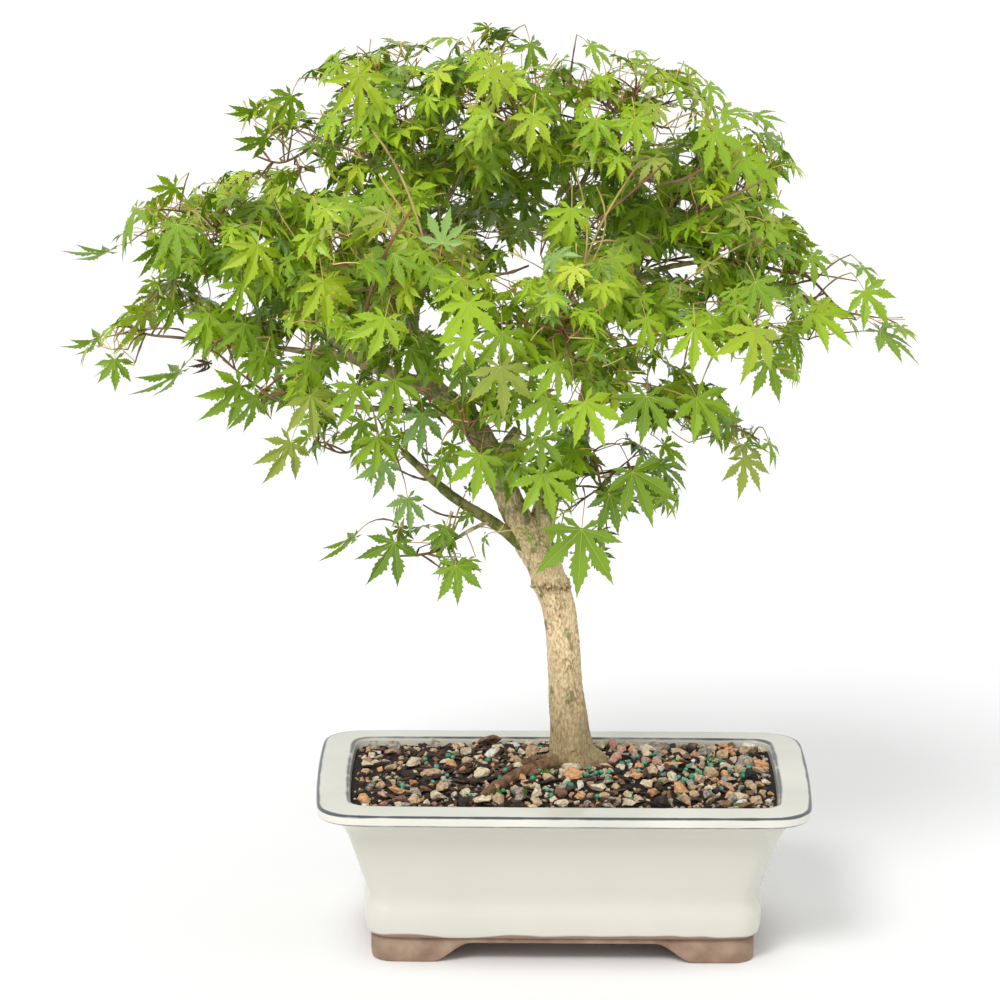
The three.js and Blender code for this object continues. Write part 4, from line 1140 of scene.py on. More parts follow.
def limb_places(vertices, limbs):
    """For each vertex the nearest limb station: radius, how far along, and the angle round the limb."""
    centres = np.concatenate([limb.points for limb in limbs])
    radii = np.concatenate([limb.radii for limb in limbs])
    runs = np.concatenate([np.linspace(0, limb.length, len(limb.points)) + RUN_STEP * i
                           for i, limb in enumerate(limbs)])
    frames = [tube_frames(limb.points) for limb in limbs]
    tangents, across, other = (np.concatenate([f[k] for f in frames]) for k in range(3))
    nearest = np.empty(len(vertices), int)
    for first in range(0, len(vertices), VERTEX_BLOCK):
        block = slice(first, first + VERTEX_BLOCK)
        gap = np.linalg.norm(vertices[block, None] - centres[None], axis=2) - radii[None]
        nearest[block] = gap.argmin(axis=1)
    offset = vertices - centres[nearest]
    run = runs[nearest] + (offset * tangents[nearest]).sum(1)
    angle = np.arctan2((offset * other[nearest]).sum(1), (offset * across[nearest]).sum(1))
    return radii[nearest], run, angle


def noises(x, y, run):
    """Noise at each place, from about -1 to 1."""
    return np.array([noise.noise(place) for place in zip(x, y, run)])


def relief(vertices, limbs):
    """How far the bark stands out at each vertex, how deep in a groove it is, and if it is a root."""
    radii, run, angle = limb_places(vertices, limbs)
    z = vertices[:, 2]
    x, y = np.cos(angle) * radii, np.sin(angle) * radii
    fine = noises(x / BARK_CELL[0], y / BARK_CELL[0], run / BARK_CELL[1])
    finer = noises(x / FINE_BARK_CELL[0] + 7, y / FINE_BARK_CELL[0], run / FINE_BARK_CELL[1])
    broad = noises(x / BROAD_BARK_CELL[0], y / BROAD_BARK_CELL[0] + 9, run / BROAD_BARK_CELL[1])
    collar = np.exp(-((z - COLLAR_HEIGHT - 3 * broad) / COLLAR_HALF) ** 2) * (radii > 9)
    rough = 1 + UPPER_ROUGHNESS * np.clip((z - COLLAR_HEIGHT) / UPPER_RANGE, 0, 1)
    rough *= np.clip((z - CALM_HEIGHT) / CALM_RANGE, CALM_LEAST, 1)
    limb_number = np.clip(run // RUN_STEP, 0, len(limbs) - 1).astype(int)
    rooted = np.array(["root" in limb.name for limb in limbs])[limb_number]
    rough = np.where(rooted, 1, rough)
    depth = BARK_DEPTH * np.clip(radii / 9, 0.25, 1) * rough
    crack = np.clip(1 - np.abs(fine + 0.3 * finer) / CRACK_WIDTH, 0, 1) * np.clip(rough, 0, 1)
    swell = np.where(rooted, ROOT_SWELL, BARK_SWELL) * radii * broad
    height = depth * (0.4 * fine + 0.5 * finer - 0.8 * crack) + swell
    height += COLLAR_DEPTH * collar * (0.5 + 1.6 * finer)
    groove = crack * np.clip(0.75 + 1.2 * broad, 0.2, 1) * np.clip(radii / 7, 0.35, 1)
    return height, np.clip(groove + collar * np.clip(0.35 - finer * 3, 0, 1), 0, 1), rooted


def dress_bark(piece, limbs):
    """Moves the piece's points out and in by the bark's relief, and keeps the grooves for its colour."""
    mesh = piece.data
    places = np.empty(len(mesh.vertices) * 3)
    normals = np.empty_like(places)
    mesh.vertices.foreach_get("co", places)
    mesh.vertex_normals.foreach_get("vector", normals)
    places = places.reshape(-1, 3)
    own = places / MM - SHIFT
    height, groove, rooted = relief(own, limbs)
    places += normals.reshape(-1, 3) * height[:, None] * MM
    mesh.vertices.foreach_set("co", places.ravel())
    low = np.clip((TRUNK_FOOT + LOW_REACH - own[:, 2]) / LOW_FADE, 0, 1) * 0.5
    away = np.hypot(own[:, 0] - TRUNK_MIDDLE[0], own[:, 1] - TRUNK_MIDDLE[1])
    low = np.where(rooted, 0.5 + 0.5 * np.clip((away - KNOT_START) / KNOT_FADE, 0, 1), low)
    green = np.clip((own[:, 2] - GREEN_START) / GREEN_FADE, 0, 1)
    for name, values in (("groove", groove), ("low", low), ("green", green)):
        set_attribute(mesh, name, values)
    mesh.update()


MERGING_STEP = 0.72
SOFTENING_ROUNDS = 5


def make_trunk(limbs, material):
    """The trunk, the stout boughs, the roots and the stub, merged into one skin."""
    stout = [limb for limb in limbs.values() if limb.name in STOUT_LIMBS or "root" in limb.name]
    piece = Piece()
    for limb in stout:
        add_tube(piece, limb.points, flare(limb), LIMB_SIDES)
    stub = smooth_path(STUB)
    add_tube(piece, stub, np.linspace(*STUB_RADII, len(stub)), 14)
    trunk = piece.build("bark_trunk", [material], "bark")
    merging = trunk.modifiers.new("merging", "REMESH")
    merging.mode = "VOXEL"
    merging.voxel_size = MERGING_STEP * MM
    softening = trunk.modifiers.new("softening", "SMOOTH")
    softening.iterations = SOFTENING_ROUNDS
    bake_modifiers(trunk)
    dress_bark(trunk, stout)
    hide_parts(*(limb.name for limb in stout))


def make_boughs(limbs, material, green):
    """The thinner boughs with their knots, the twigs that carry no leaves, and the green bough."""
    thin = [limb for limb in limbs.values() if limb.name not in STOUT_LIMBS and "root" not in limb.name]
    piece = Piece()
    own = [limb for limb in thin if limb.name != "green_bough"]
    for limb in own:
        swells = [max(0, noise.noise((i / KNOT_STATIONS, limb.length, 0))) for i in range(len(limb.points))]
        radii = [radius * THIN_SHARE * (1 + THIN_KNOT * swell) for radius, swell in zip(limb.radii, swells)]
        add_tube(piece, limb.points, radii, 10)
    boughs = piece.build("bark_boughs", [material], "bark")
    dress_bark(boughs, own)
    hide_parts(*(limb.name for limb in own))
    piece = Piece()
    for way, first, last in BARE_TWIGS:
        path = along(smooth_path(way), np.linspace(0, 1, 13))
        knots = np.linspace(first, last, 13)
        knots[3:-1:3] *= KNOT_SWELL
        add_tube(piece, path, knots, 7)
    piece.build("bare_twigs", [twig_material("twig_dark", rgb(134, 104, 78), rgb(92, 68, 52))], "bark")
    piece = Piece()
    add_tube(piece, limbs["green_bough"].points, limbs["green_bough"].radii, 16)
    bough = piece.build("green_bough_bark", [green], "green_bark")
    dress_bark(bough, [limbs["green_bough"]])
    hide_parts("green_bough")


# Leaves

def lobe_width(t):
    """Half the width of a lobe at a part of its length: narrow at the palm, widest past the middle."""
    return LOBE_WIDTH * float(np.interp(t, LOBE_PARTS, LOBE_WIDTHS))


def lobe_edge(rng, teeth):
    """The toothed edge of one side of a lobe: parts of its length, with the half width at each."""
    first, last = TOOTH_RUN
    step = (last - first) / teeth
    edge = []
    for k in range(teeth):
        notch = first + step * k
        peak = notch + step * rng.uniform(0.68, 0.86)
        edge.append((notch, lobe_width(notch) * (1 - TOOTH_DEPTH)))
        edge.append((peak, lobe_width(peak) * (1 + TOOTH_DEPTH * rng.uniform(0.7, 1.3))))
    edge.append((last + 0.01, lobe_width(last + 0.01) * (1 - TOOTH_DEPTH)))
    return edge


def zip_rows(first, first_parts, second, second_parts):
    """Triangles between two rows of points that run the same way."""
    faces = []
    i = j = 0
    while i + 1 < len(first) or j + 1 < len(second):
        second_done = j + 1 >= len(second)
        if second_done or (i + 1 < len(first) and first_parts[i + 1] <= second_parts[j + 1]):
            faces.append((first[i], first[i + 1], second[j]))
            i += 1
        else:
            faces.append((first[i], second[j + 1], second[j]))
            j += 1
    return [f for f in faces if len(set(f)) == 3]


class LeafKind:
    """One leaf lying flat: the palm at the origin, the middle lobe along +Y, the upper side up."""

    def __init__(self, rng, dry=False):
        self.angles = [math.radians(a + spread(rng, 5)) for a, _ in LOBES]
        self.lengths = [LOBE_LENGTH * share * (1 + spread(rng, 0.1)) for _, share in LOBES]
        self.fold = DRY_FOLD if dry else rng.uniform(*LEAF_FOLD)
        self.curl = DRY_CURL if dry else rng.uniform(*LEAF_CURL)
        self.sag = [rng.uniform(*LEAF_SAG) for _ in LOBES]
        self.wave = [spread(rng, 0.1) for _ in LOBES]
        self.points = [(0, 0, 0)]
        self.faces = []
        self.rib_faces = []
        reaches = [rng.uniform(*SINUS_REACH) * min(a, b) for a, b in zip(self.lengths, self.lengths[1:])]
        middles = [(a + b) / 2 for a, b in zip(self.angles, self.angles[1:])]
        self.sinuses = [self.put(middle, reach, 0, 0) for middle, reach in zip(middles, reaches)]
        for lobe in range(len(LOBES)):
            self.add_lobe(rng, lobe)
        for lobe in range(1, len(LOBES) - 1):
            self.add_rib(lobe)
        self.points = np.array(self.points, float)
        self.tips = np.linalg.norm(self.points, axis=1) > LOBE_LENGTH * 0.5

    def put(self, angle, reach, side, lobe, lift=0):
        """Adds the point at a reach along a lobe and a distance to its side, and gives its number."""
        x = reach * math.sin(angle) + side * math.cos(angle)
        y = reach * math.cos(angle) - side * math.sin(angle)
        far = math.hypot(x, y)
        bend = self.curl * far * far + self.sag[lobe] * far
        self.points.append((x, y, self.fold * abs(side) + self.wave[lobe] * side - bend + lift))
        return len(self.points) - 1

    def add_lobe(self, rng, lobe):
        angle, length = self.angles[lobe], self.lengths[lobe]
        middle = [0] + [self.put(angle, length * t, 0, lobe) for t in MIDDLE_RUN]
        for side in (-1, 1):
            near = lobe - 1 if side < 0 else lobe
            edge = [self.sinuses[near] if 0 <= near < len(self.sinuses) else 0]
            parts = [EDGE_START]
            for t, width in lobe_edge(rng, 5 if length > LOBE_LENGTH / 2 else 2):
                edge.append(self.put(angle, length * t, side * width * length, lobe))
                parts.append(t)
            strip = zip_rows(middle, [0, *MIDDLE_RUN], [*edge, middle[-1]], [*parts, 1])
            self.faces += strip if side < 0 else [f[::-1] for f in strip]

    def add_rib(self, lobe):
        """A thin pale rib that lies on the lobe's fold."""
        angle, length = self.angles[lobe], self.lengths[lobe]
        rows = []
        for t in RIB_ROWS:
            half = RIB_WIDTH / 2 * (1 - 0.8 * t)
            lift = RIB_LIFT + self.fold * half
            rows.append([self.put(angle, length * t, side * half, lobe, lift) for side in (-1, 1)])
        for (a, b), (c, d) in zip(rows, rows[1:]):
            self.rib_faces += [(a, c, d), (a, d, b)]


# Leaf colours: name, colour and share. The first ones run from yellow to dark.
LEAF_COLORS = [
    ("leaf_yellow_green", rgb(182, 198, 46), 3),
    ("leaf_bright", rgb(163, 188, 30), 12),
    ("leaf_fresh", rgb(153, 186, 26), 26),
    ("leaf_mid", rgb(137, 172, 22), 26),
    ("leaf_deep", rgb(122, 157, 26), 18),
    ("leaf_dark", rgb(105, 139, 32), 8),
    ("leaf_olive", rgb(152, 166, 60), 5),
    # Pale blue-green leaves: the paler undersides, and painted sheen
    ("leaf_pale_sheen", rgb(132, 168, 84), 3),
]
SHIFTED_COLORS = 6
SAME_COLOR_SHARE = 0.7

# What makes a spray yellower as painted light or deeper as painted shade: its height, how near the top it is,
# and how far inside
LIGHT_SHADE_START = 300
LIGHT_SHADE_RANGE = 240
HEIGHT_LIGHT_AND_SHADE = 0.6
TOP_PAINTED_LIGHT = 1.8
TOP_START = 0.55
INNER_PAINTED_SHADE = 1.2
INNER_SHARE = 0.6


def leaf_materials():
    leaves = [leaf_material(name, color) for name, color, _ in LEAF_COLORS]
    others = [twig_material("stalk_straw", rgb(226, 208, 130), rgb(200, 178, 92), 0.5),
              twig_material("stalk_red", rgb(186, 122, 76), rgb(208, 176, 104), 0.5),
              leaf_material("leaf_rib", rgb(176, 198, 78)),
              leaf_material("leaf_dry", rgb(72, 56, 40), 0.8)]
    return leaves + others


def spray_color(rng, place):
    """A leaf colour for a spray: yellower high up and most of all near the top as painted light, deeper low
    and inside as painted shade.
    """
    high = min(1, max(0, (place[2] - LIGHT_SHADE_START) / LIGHT_SHADE_RANGE))
    inner = max(0, 1 - np.linalg.norm((place - CROWN_MIDDLE)[:2] / CROWN_HALF[:2]) / INNER_SHARE)
    # Painted light moves sprays near the top toward the yellow colours, painted shade moves low and inner
    # ones toward the dark
    tilt = HEIGHT_LIGHT_AND_SHADE * (high - 0.5) + TOP_PAINTED_LIGHT * max(0, high - TOP_START) - INNER_PAINTED_SHADE * inner
    middle = (SHIFTED_COLORS - 1) / 2
    weights = [share for _, _, share in LEAF_COLORS]
    for k in range(SHIFTED_COLORS):
        weights[k] *= math.exp(tilt * (middle - k) / middle)
    return rng.choices(range(len(weights)), weights)[0]


class Mass:
    """A mass of foliage and the space that it keeps to."""

    def __init__(self, index, row, limbs):
        self.name, bough, middle, half, self.twig_count, seed = row
        self.bough = limbs[bough]
        self.middle = np.array(middle, float)
        self.half = np.array(half, float)
        self.size = np.cbrt(self.half.prod() * CELL_FLATNESS)
        self.turn = MASS_TURN * index
        self.rng = random.Random(seed)
        self.on_bough = False
        self.nodes = []
        self.leaves, self.twigs = Piece(), Piece()
        tip, direction = self.bough.points[-1], self.bough.direction
        way = self.middle - tip
        far = self.middle + unit(way) * STEM_PAST_MIDDLE + UP * STEM_RISE
        bend = tip + direction * STEM_STRAIGHT * np.linalg.norm(way)
        self.stem = smooth_path([tip - direction * 2, bend, self.middle, far])

    def nearest_node(self, place):
        return min(self.nodes, key=lambda node: np.linalg.norm(node - place))

    def node_behind(self, foot, tip):
        """The node from which a twig reaches the foot and goes on to the tip with little length or bend."""
        length = np.linalg.norm(tip - foot)
        return min(self.nodes, key=lambda node: 4 * (np.linalg.norm(foot - node) + length)
                   - 3 * np.linalg.norm(tip - node))

    def set_borders(self, masses):
        """A plane between this mass and each other one, nearer to the smaller of the two."""
        stretch = np.array([1, 1, CELL_FLATNESS])
        normals, offsets = [], []
        for other in masses:
            if other is self:
                continue
            mine, theirs = self.middle * stretch, other.middle * stretch
            normal = 2 * (theirs - mine) * stretch
            offset = theirs @ theirs - mine @ mine - other.size**2 + self.size**2
            slope = np.linalg.norm(normal)
            normals.append(normal / slope)
            offsets.append(offset / slope)
        self.normals, self.offsets = np.array(normals), np.array(offsets)

    def holds(self, points, limit):
        """Whether all the points are in the mass's oval and not far past its borders with the others.

        The shoots on its own bough may go further out, and past the borders.
        """
        points = np.atleast_2d(points)
        oval = (((points - self.middle) / self.half) ** 2).sum(1)
        if self.on_bough:
            return bool((oval <= BOUGH_SHOOT_LIMIT).all())
        return bool((oval <= limit).all() and (points @ self.normals.T <= self.offsets + CELL_SHARE).all())


def bent_path(start, bend, end, steps):
    """A curve from start to end that leans toward the bend."""
    t = np.linspace(0, 1, steps + 1)[:, None]
    return (1 - t) ** 2 * start + 2 * t * (1 - t) * bend + t**2 * end


def outward_at(point, direction):
    """A level way between the one that the crown's skin faces there and the one that a twig takes."""
    skin = unit((point - CROWN_MIDDLE)[:2] / CROWN_HALF[:2] ** 2)
    level = unit(np.array([direction[0], direction[1], 0]))
    return unit(unit(np.array([skin[0], skin[1], 0])) + 0.6 * level)


def leafiness(point):
    """The share of leaves that grow at a point: fewer round the crown's middle, all at its skin."""
    depth = np.linalg.norm((point - CROWN_MIDDLE) / CROWN_HALF)
    first, full = INNER_REACH
    return min(1, max(INNER_LEAF_SHARE, (depth - first) / (full - first)))


class CrownView:
    """The crown's outline and the sky in it, from where the photograph's camera stands."""

    def __init__(self):
        self.eye = np.array(CAMERA_PLACE)
        self.corners = np.array(CROWN_OUTLINE, float)
        self.following = np.roll(self.corners, -1, axis=0)
        run, rise = (self.following - self.corners).T
        self.slope = run / np.where(rise == 0, 1, rise)
        self.gaps = np.array(SKY_GAPS + self.specks(), float)
        self.shown, self.depths = self.placed()

    def placed(self):
        """What is listed and faces the camera: x, z and a radius for each, and their depths."""
        leaves = [row for row in PLACED_LEAVES if row[5] < SHOWN_TURN]
        shown = [(x, z, length * LEAF_FRONT_SHARE) for x, z, _, length, *_ in leaves]
        depths = [row[2] for row in leaves]
        for x, z, y, tip_x, tip_z, tip_y, *_ in PLACED_STALKS:
            for part in STALK_CLEAR_PARTS:
                shown.append((lerp(x, tip_x, part), lerp(z, tip_z, part), STALK_CLEAR))
                depths.append(lerp(y, tip_y, part))
        return np.array(shown, float), np.array(depths, float)

    def specks(self):
        """Many small gaps between the leaves, spread over the crown: x, z and two half sizes."""
        rng = random.Random(9)
        low, high = self.corners.min(0), self.corners.max(0)
        placed = []
        for _ in range(SPECK_TRIES):
            x, z = rng.uniform(low[0], high[0]), rng.uniform(low[1], high[1])
            room = np.interp(z, SPECK_HEIGHTS, SPECK_SPACING)
            clear = all(math.hypot(x - a, z - b) > room for a, b, *_ in placed)
            if clear and self.inside(np.array([x, 0, z])):
                placed.append((x, z, rng.uniform(*SPECK_HALF), rng.uniform(*SPECK_HALF)))
        return placed

    def seen(self, points):
        """Where points show on the plane y = 0."""
        points = np.atleast_2d(points)
        eye = self.eye[[0, 2]]
        part = self.eye[1] / (self.eye[1] - points[:, 1:2])
        return eye + (points[:, [0, 2]] - eye) * part

    def place(self, x, y, z):
        """The place at depth y that shows at x and z on the plane y = 0."""
        eye = self.eye[[0, 2]]
        flat = eye + (np.array([x, z]) - eye) * (self.eye[1] - y) / self.eye[1]
        return np.array([flat[0], y, flat[1]])

    def in_sky(self, points):
        """Whether any of the points shows well inside one of the listed gaps."""
        places = self.seen(points)[:, None]
        listed = self.gaps[:len(SKY_GAPS)]
        return bool(((((places - listed[:, :2]) / listed[:, 2:]) ** 2).sum(2) < 0.8).any())

    def inside(self, points):
        """Whether all the points show inside the crown's outline."""
        x, z = self.seen(points).T[:, :, None]
        crossed = (self.corners[:, 1] > z) != (self.following[:, 1] > z)
        edge = self.corners[:, 0] + (z - self.corners[:, 1]) * self.slope
        return bool(((crossed & (x < edge)).sum(1) % 2 == 1).all())

    def free(self, points):
        """Whether the points leave the sky and what is listed in view."""
        places = self.seen(points)[:, None]
        in_gap = (((places - self.gaps[:, :2]) / self.gaps[:, 2:]) ** 2).sum(2) < 1
        over = np.linalg.norm(places - self.shown[:, :2], axis=2) < self.shown[:, 2]
        over &= points[:, 1][:, None] < self.depths + 3
        return not in_gap.any() and not over.any()


def node_count(path):
    return max(2, round(path_length(path) / NODE_SPACING))


def add_knotted(piece, path, ends, kind):
    """A thin twig with a swelling at each of its nodes. The ends are its two radii."""
    nodes = node_count(path)
    radii = np.linspace(*ends, 2 * nodes + 1)
    radii[2:-1:2] *= KNOT_SWELL
    add_tube(piece, along(path, np.linspace(0, 1, 2 * nodes + 1)), radii, 5, kind)


class Foliage:
    """Grows every mass, keeps the leaves' palms apart and keeps twigs and leaves clear of the wood."""

    def __init__(self, limbs):
        self.masses = [Mass(i, row, limbs) for i, row in enumerate(MASSES)]
        for mass in self.masses:
            mass.set_borders(self.masses)
        rng = random.Random(77)
        self.kinds = [LeafKind(rng) for _ in range(LEAF_KINDS)]
        self.dry_kind = LeafKind(rng, dry=True)
        self.view = CrownView()
        self.palms = {}
        self.wood = np.concatenate([limb.points for limb in limbs.values()])
        self.wood_radii = np.concatenate([limb.radii for limb in limbs.values()])
        self.stalk_rng = random.Random(21)

    def palm_free(self, palm, spacing):
        """Keeps a leaf's palm, unless another palm is nearer than the spacing."""
        home = tuple(int(c // LEAF_SPACING) for c in palm)
        for step in itertools.product((-1, 0, 1), repeat=3):
            near = self.palms.get(tuple(h + s for h, s in zip(home, step)), ())
            if any(np.linalg.norm(other - palm) < spacing for other in near):
                return False
        self.palms.setdefault(home, []).append(palm)
        return True

    def clear_of_wood(self, point, room):
        return bool((np.linalg.norm(self.wood - point, axis=1) > self.wood_radii + room).all())

    def fits(self, mass, points, limit, foot, room):
        """Whether points keep to the mass and the crown's outline, with their foot clear of the wood."""
        return mass.holds(points, limit) and self.clear_of_wood(foot, room) and self.view.inside(points)

    def put_leaf(self, piece, kind, blade, stalk, color):
        """Adds a leaf's blade, its ribs and its stalk."""
        piece.add(blade, kind.faces, color)
        rib_kind = DRY_LEAF if color == DRY_LEAF else LEAF_RIB
        piece.add_faces(kind.rib_faces, rib_kind, piece.count - len(blade))
        add_tube(piece, stalk, np.linspace(*STALK_RADII, len(stalk)), 3, self.stalk_rng.choice(STALK_KINDS))

    def add_leaf(self, mass, root, side, color):
        """A stalk and its leaf, smaller at each try. Says whether one fits the mass, view and neighbours."""
        rng = mass.rng
        if rng.random() > leafiness(root):
            return False
        outward = outward_at(root, side)
        kind = rng.choice(self.kinds)
        scale = rng.triangular(*LEAF_SCALE)
        high = min(1, max(0, (root[2] - HIGH_START) / HIGH_RANGE))
        for _ in range(LEAF_TRIES):
            length = rng.uniform(*STALK_LENGTH) * (0.5 + 0.5 * scale)
            level = unit(np.array(Matrix.Rotation(rng.gauss(0, LEAF_SWING), 3, "Z")) @ outward)
            droop = lerp(DROOP_LOW, DROOP_TOP, high) + rng.gauss(0, DROOP_SPREAD)
            bend = root + unit(side + 0.25 * UP) * length * 0.5
            palm = bend + unit(level + UP * (0.3 * high - 0.1)) * length * 0.5
            midrib = level * math.cos(droop) - UP * math.sin(droop)
            normal = level * math.sin(droop) + UP * math.cos(droop)
            normal = np.array(Matrix.Rotation(rng.gauss(0, LEAF_ROLL), 3, Vector(midrib))) @ normal
            blade = palm + scale * kind.points @ np.stack([np.cross(midrib, normal), midrib, normal])
            spacing = LEAF_SPACING * (0.45 + 0.55 * scale)
            if (self.fits(mass, blade[kind.tips], LEAF_LIMIT, palm, 3) and self.view.free(blade)
                    and self.palm_free(palm, spacing)):
                self.put_leaf(mass.leaves, kind, blade, bent_path(root, bend, palm, 3), color)
                return True
            scale *= LEAF_SHRINK
        return False

    def place_leaf(self, mass, row):
        """One listed leaf, on a long shoot of its own from the mass's nearest node."""
        x, z, y, length, heading, turn, color = row
        rng = mass.rng
        palm = self.view.place(x, y, z)
        toward = unit(np.array(CAMERA_PLACE) - palm)
        heading, turn = math.radians(heading), math.radians(turn)
        down = np.array([math.sin(heading), 0, -math.cos(heading)])
        midrib = unit(down - toward * (down @ toward))
        normal = unit(toward * math.cos(turn) + np.cross(toward, midrib) * math.sin(turn))
        kind = self.dry_kind if color == DRY_LEAF else self.kinds[len(self.palms) % LEAF_KINDS]
        sides = np.stack([np.cross(midrib, normal), midrib, normal])
        self.palm_free(palm, 0)
        root = palm - midrib * length * PLACED_STALK_RUN - toward * length * PLACED_STALK_BACK + UP * 2
        stalk = bent_path(root, (root + palm) / 2 + UP * 2, palm, 3)
        blade = palm + length / LOBE_LENGTH * kind.points @ sides
        self.put_leaf(mass.leaves, kind, blade, stalk, color)
        start = mass.nearest_node(root)
        way = root - start
        path = bent_path(start, (start + root) / 2 + UP * 5, root, 8)
        nodes = int(np.linalg.norm(way) / NODE_SPACING)
        for n in range(1, nodes):
            place = spot(path, n / nodes)
            across = unit(np.cross(way, UP if n % 2 else (1, 1, 0)))
            shade = spray_color(rng, place)
            for sign in (-1, 1):
                self.add_leaf(mass, place, unit(sign * across + 0.5 * unit(way)), shade)
        add_knotted(mass.twigs, path, PLACED_SHOOT_RADII, rng.choice((0, 2)))

    def place_stalk(self, mass, row):
        """One listed bare stalk or twig, grown from a node of the mass."""
        x, z, y, tip_x, tip_z, tip_y, radius, kind = row
        foot = self.view.place(x, y * STALK_DEPTH, z)
        tip = self.view.place(tip_x, tip_y * STALK_DEPTH, tip_z)
        bow = UP * STALK_BOW * np.linalg.norm(tip - foot)
        path = bent_path(mass.node_behind(foot, tip), foot + bow, tip, 8)
        add_knotted(mass.twigs, path, (radius, radius * 0.8), kind)

    def add_old_stalks(self, mass, path):
        """Straw-coloured stalks that have lost their leaves, at some of a twig's nodes."""
        rng = mass.rng
        nodes = node_count(path)
        for n in range(1, nodes + 1):
            place = spot(path, n / nodes)
            if rng.random() > OLD_STALK_SHARE or place[2] < OLD_STALK_START:
                continue
            skin = unit((place - CROWN_MIDDLE) / CROWN_HALF)
            aim = unit(skin + UP * 0.5 + gauss_jitter(rng, 0.5))
            tip = place + aim * rng.uniform(*OLD_STALK_LENGTH)
            bend = (place + tip) / 2 + jitter(rng, 1.5)
            if mass.holds(tip, 1) and self.view.inside(tip):
                stalk = bent_path(place, bend, tip, 3)
                add_tube(mass.leaves, stalk, OLD_STALK_RADII, 3, rng.choice(STALK_KINDS))

    def add_shoot(self, mass, root, way, length):
        """A shoot with pairs of leaves and a last one at its tip. It grows only where a leaf finds room."""
        rng = mass.rng
        end = root + way * length + UP * length * SHOOT_RISE
        if not self.fits(mass, end, TWIG_LIMIT, end, 2):
            return False
        path = bent_path(root, root + way * length * 0.5 + UP * length * SHOOT_BOW, end, 4)
        if self.view.in_sky(path):
            return False
        color = spray_color(rng, end)
        across = unit(np.cross(way, UP))
        nodes = max(1, int(length / SHOOT_NODE_SPACING))
        grown = 0
        for n in range(nodes):
            place = spot(path, 1 - n / nodes)
            plane = across if n % 2 == 0 else unit(across * 0.5 + UP)
            for sign in (-1, 1):
                shade = color if rng.random() < SAME_COLOR_SHARE else spray_color(rng, end)
                grown += self.add_leaf(mass, place, unit(way * 0.6 + sign * plane), shade)
        grown += self.add_leaf(mass, end, way, color)
        if grown == 0:
            return False
        self.add_old_stalks(mass, path)
        add_tube(mass.twigs, path, np.linspace(*SHOOT_RADII, 5), 5, rng.choice((1, 1, 2)))
        if rng.random() < BARE_STALK_SHARE * nodes:
            tip = end + unit(way + UP * 0.8) * rng.uniform(*BARE_STALK_LENGTH)
            if mass.holds(tip, 0.98) and self.view.inside(tip):
                stalk = bent_path(end, (end + tip) / 2 + way, tip, 3)
                add_tube(mass.leaves, stalk, BARE_STALK_RADII, 4, STRAW_STALK)
        return True

    def add_twig(self, mass, root, target):
        """A main twig with side shoots in opposite pairs, each pair turned a quarter from the last."""
        rng = mass.rng
        for reach in TWIG_TRIES:
            end = lerp(root, target, reach)
            if self.fits(mass, end, TWIG_LIMIT, end, 3):
                break
        length = np.linalg.norm(end - root)
        if length < SHORTEST_TWIG:
            return
        way = (end - root) / length
        bow = UP * length * TWIG_BOW + jitter(rng, TWIG_JITTER) * length
        path = bent_path(root, (root + end) / 2 + bow, end, 8)
        if self.view.in_sky(path[3:]):
            return
        level = unit(np.cross(way, UP))
        steep = unit(np.cross(level, way))
        nodes = max(1, int(length * (1 - NODE_START) / NODE_SPACING))
        grown_to = 0
        for n in range(nodes):
            part = NODE_START + (1 - NODE_START) * (n + 0.5 * rng.random()) / nodes
            place = spot(path, part)
            plane = level if n % 2 == 0 else unit(steep + 0.6 * level)
            for sign in (-1, 1):
                aim = way * math.cos(SHOOT_ANGLE) + sign * plane * math.sin(SHOOT_ANGLE)
                aim = unit(aim + jitter(rng, SHOOT_JITTER))
                reach = rng.uniform(*SHOOT_LENGTH) * (1.15 - 0.5 * part)
                if self.add_shoot(mass, place, aim, reach):
                    grown_to = part
        if self.add_shoot(mass, end, way, rng.uniform(*LAST_SHOOT_LENGTH)):
            grown_to = 1
        if grown_to > 0:
            kept = along(path, np.linspace(0, grown_to, 9))
            mass.nodes.extend(kept)
            ends = (TWIG_RADII[0], lerp(*TWIG_RADII, grown_to))
            add_knotted(mass.twigs, kept, ends, rng.choice((0, 1)))
            self.add_old_stalks(mass, kept)

    def clothe_bough(self, mass):
        """Short leafy shoots in opposite pairs along the outer part of the mass's own bough."""
        rng = mass.rng
        bough = mass.bough
        nodes = max(1, int(bough.length * (1 - BOUGH_SHOOT_START) / BOUGH_SHOOT_SPACING))
        for n in range(nodes):
            part = BOUGH_SHOOT_START + (1 - BOUGH_SHOOT_START) * (n + 0.5) / nodes
            at = min(len(bough.points) - 2, int(part * len(bough.points)))
            way = unit(bough.points[at + 1] - bough.points[at])
            level = unit(np.cross(way, UP) + 1e-6)
            plane = level if n % 2 == 0 else unit(np.cross(level, way) + 0.5 * level)
            for sign in (-1, 1):
                aim = unit(0.5 * way + sign * plane + jitter(rng, BOUGH_SHOOT_JITTER))
                root = bough.points[at] + aim * bough.radii[at] * 0.7
                self.add_shoot(mass, root, aim, rng.uniform(*BOUGH_SHOOT_LENGTH))

    def nearest_mass(self, row):
        """The mass that something listed belongs to."""
        place = self.view.place(row[0], row[2], row[1])
        return min(self.masses, key=lambda m: np.linalg.norm((place - m.middle) / m.half))

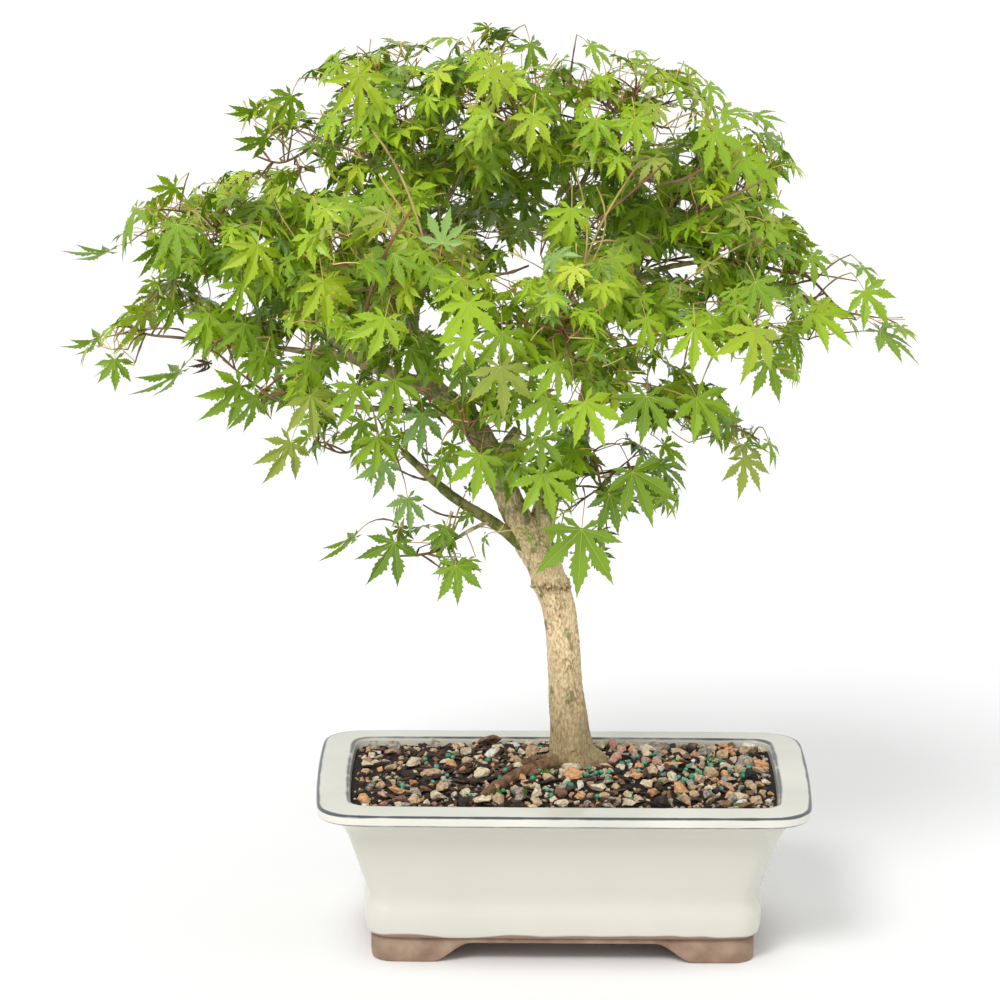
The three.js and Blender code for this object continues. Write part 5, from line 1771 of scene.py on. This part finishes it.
    def grow(self, mass, materials, wood):
        """The source's stem and golden-angle twigs, with more of them and finer shoots."""
        rng = mass.rng
        stem = mass.stem
        add_tube(mass.twigs, along(stem, np.linspace(0, 1, 15)), np.linspace(*STEM_RADII, 15), 6, 0)
        mass.nodes.extend(stem[4:-4:4])
        heading = unit(stem[-1] - stem[0])
        count = round(mass.twig_count * TWIG_GAIN)
        for k in range(count):
            height = 1 - 2 * (k + 0.5) / count
            turn = k * GOLDEN_ANGLE + mass.turn
            level = math.sqrt(1 - height * height)
            aim = np.array([level * math.cos(turn), level * math.sin(turn), height])
            target = mass.middle + aim * mass.half * TWIG_REACH
            part = lerp(*TWIG_PLACES, (aim @ heading + 1) / 2) + 0.05 * rng.random()
            self.add_twig(mass, spot(stem, part), target)
        self.add_shoot(mass, stem[-1], heading, 10)
        for rows, place in ((PLACED_LEAVES, self.place_leaf), (PLACED_STALKS, self.place_stalk)):
            for row in rows:
                if self.nearest_mass(row) is mass:
                    place(mass, row)
        mass.on_bough = True
        self.clothe_bough(mass)
        mass.on_bough = False
        piece = mass.leaves.build(f"leaves_{mass.name}", materials, "leaves", smooth=False)
        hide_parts(f"foliage_{mass.name}")
        mass.twigs.build(f"twigs_{mass.name}", wood, "bark")


# Stage

FLOOR_HALF = 9
WORLD_STRENGTH = 0.82
SUN_STRENGTH = 1.35
SUN_ANGLES = (43, 0, -26)
SUN_SOFTNESS = 20
SOFTBOX_POWER = 4
SOFTBOX_SIZE = 1.2
SOFTBOX_PLACE = (-1.1, -1.6, 1.5)
SOFTBOX_AIM = (0, 0, 0.3)


def make_stage():
    mesh = bpy.data.meshes.new("floor")
    corners = [(x * FLOOR_HALF, y * FLOOR_HALF, 0) for x, y in ((-1, -1), (1, -1), (1, 1), (-1, 1))]
    mesh.from_pydata(corners, [], [(0, 1, 2, 3)])
    material, _ = shader("pale_floor", (0.94, 0.94, 0.94), 0.9)
    mesh.materials.append(material)
    add_object("floor", mesh)
    world = bpy.data.worlds.new("studio")
    world.use_nodes = True
    background = world.node_tree.nodes["Background"]
    background.inputs["Color"].default_value = (1, 1, 1, 1)
    background.inputs["Strength"].default_value = WORLD_STRENGTH
    bpy.context.scene.world = world
    bpy.context.scene.view_settings.view_transform = "Standard"


def make_lights():
    sun = bpy.data.lights.new("key_sun", "SUN")
    sun.energy = SUN_STRENGTH
    sun.angle = math.radians(SUN_SOFTNESS)
    add_object("key_sun", sun).rotation_euler = [math.radians(a) for a in SUN_ANGLES]
    softbox = bpy.data.lights.new("softbox", "AREA")
    softbox.energy = SOFTBOX_POWER
    softbox.size = SOFTBOX_SIZE
    box = add_object("softbox", softbox)
    box.location = SOFTBOX_PLACE
    box.rotation_euler = (Vector(SOFTBOX_AIM) - box.location).to_track_quat("-Z", "Y").to_euler()


def make_camera():
    camera = add_object("camera", bpy.data.cameras.new("camera"))
    camera.data.lens = CAMERA_LENS
    camera.data.clip_end = 50
    pitch = Matrix.Rotation(math.radians(90 - CAMERA_PITCH), 4, "X")
    roll = Matrix.Rotation(math.radians(CAMERA_ROLL), 4, "Z")
    camera.matrix_world = Matrix.Translation(to_metres(CAMERA_PLACE)) @ pitch @ roll
    bpy.context.scene.camera = camera


make_camera()
make_stage()
make_lights()
ground_height = soil_ground()
NODES["soil"].data.materials.clear()
NODES["soil"].data.materials.append(soil_material())
make_pot()
make_feet()
make_gravel(ground_height)
make_chips(ground_height)
make_prills(ground_height)
make_moss(ground_height)
all_limbs = make_limbs(ground_height)
bark = bark_material("bark", rgb(246, 218, 174), rgb(138, 104, 68), rgb(118, 128, 74), 0.2)
green_bark = bark_material("green_bark", rgb(116, 126, 58), rgb(78, 84, 40), rgb(158, 148, 94), 0.42)
make_trunk(all_limbs, bark)
make_boughs(all_limbs, bark, green_bark)
foliage = Foliage(all_limbs)
leaf_set = leaf_materials()
wood_set = [twig_material("twig_brown", rgb(146, 118, 84), rgb(104, 78, 56)),
            twig_material("shoot_red", rgb(150, 96, 64), rgb(116, 78, 54)),
            twig_material("shoot_tan", rgb(184, 164, 100), rgb(152, 120, 76))]
for each in foliage.masses:
    foliage.grow(each, leaf_set, wood_set)
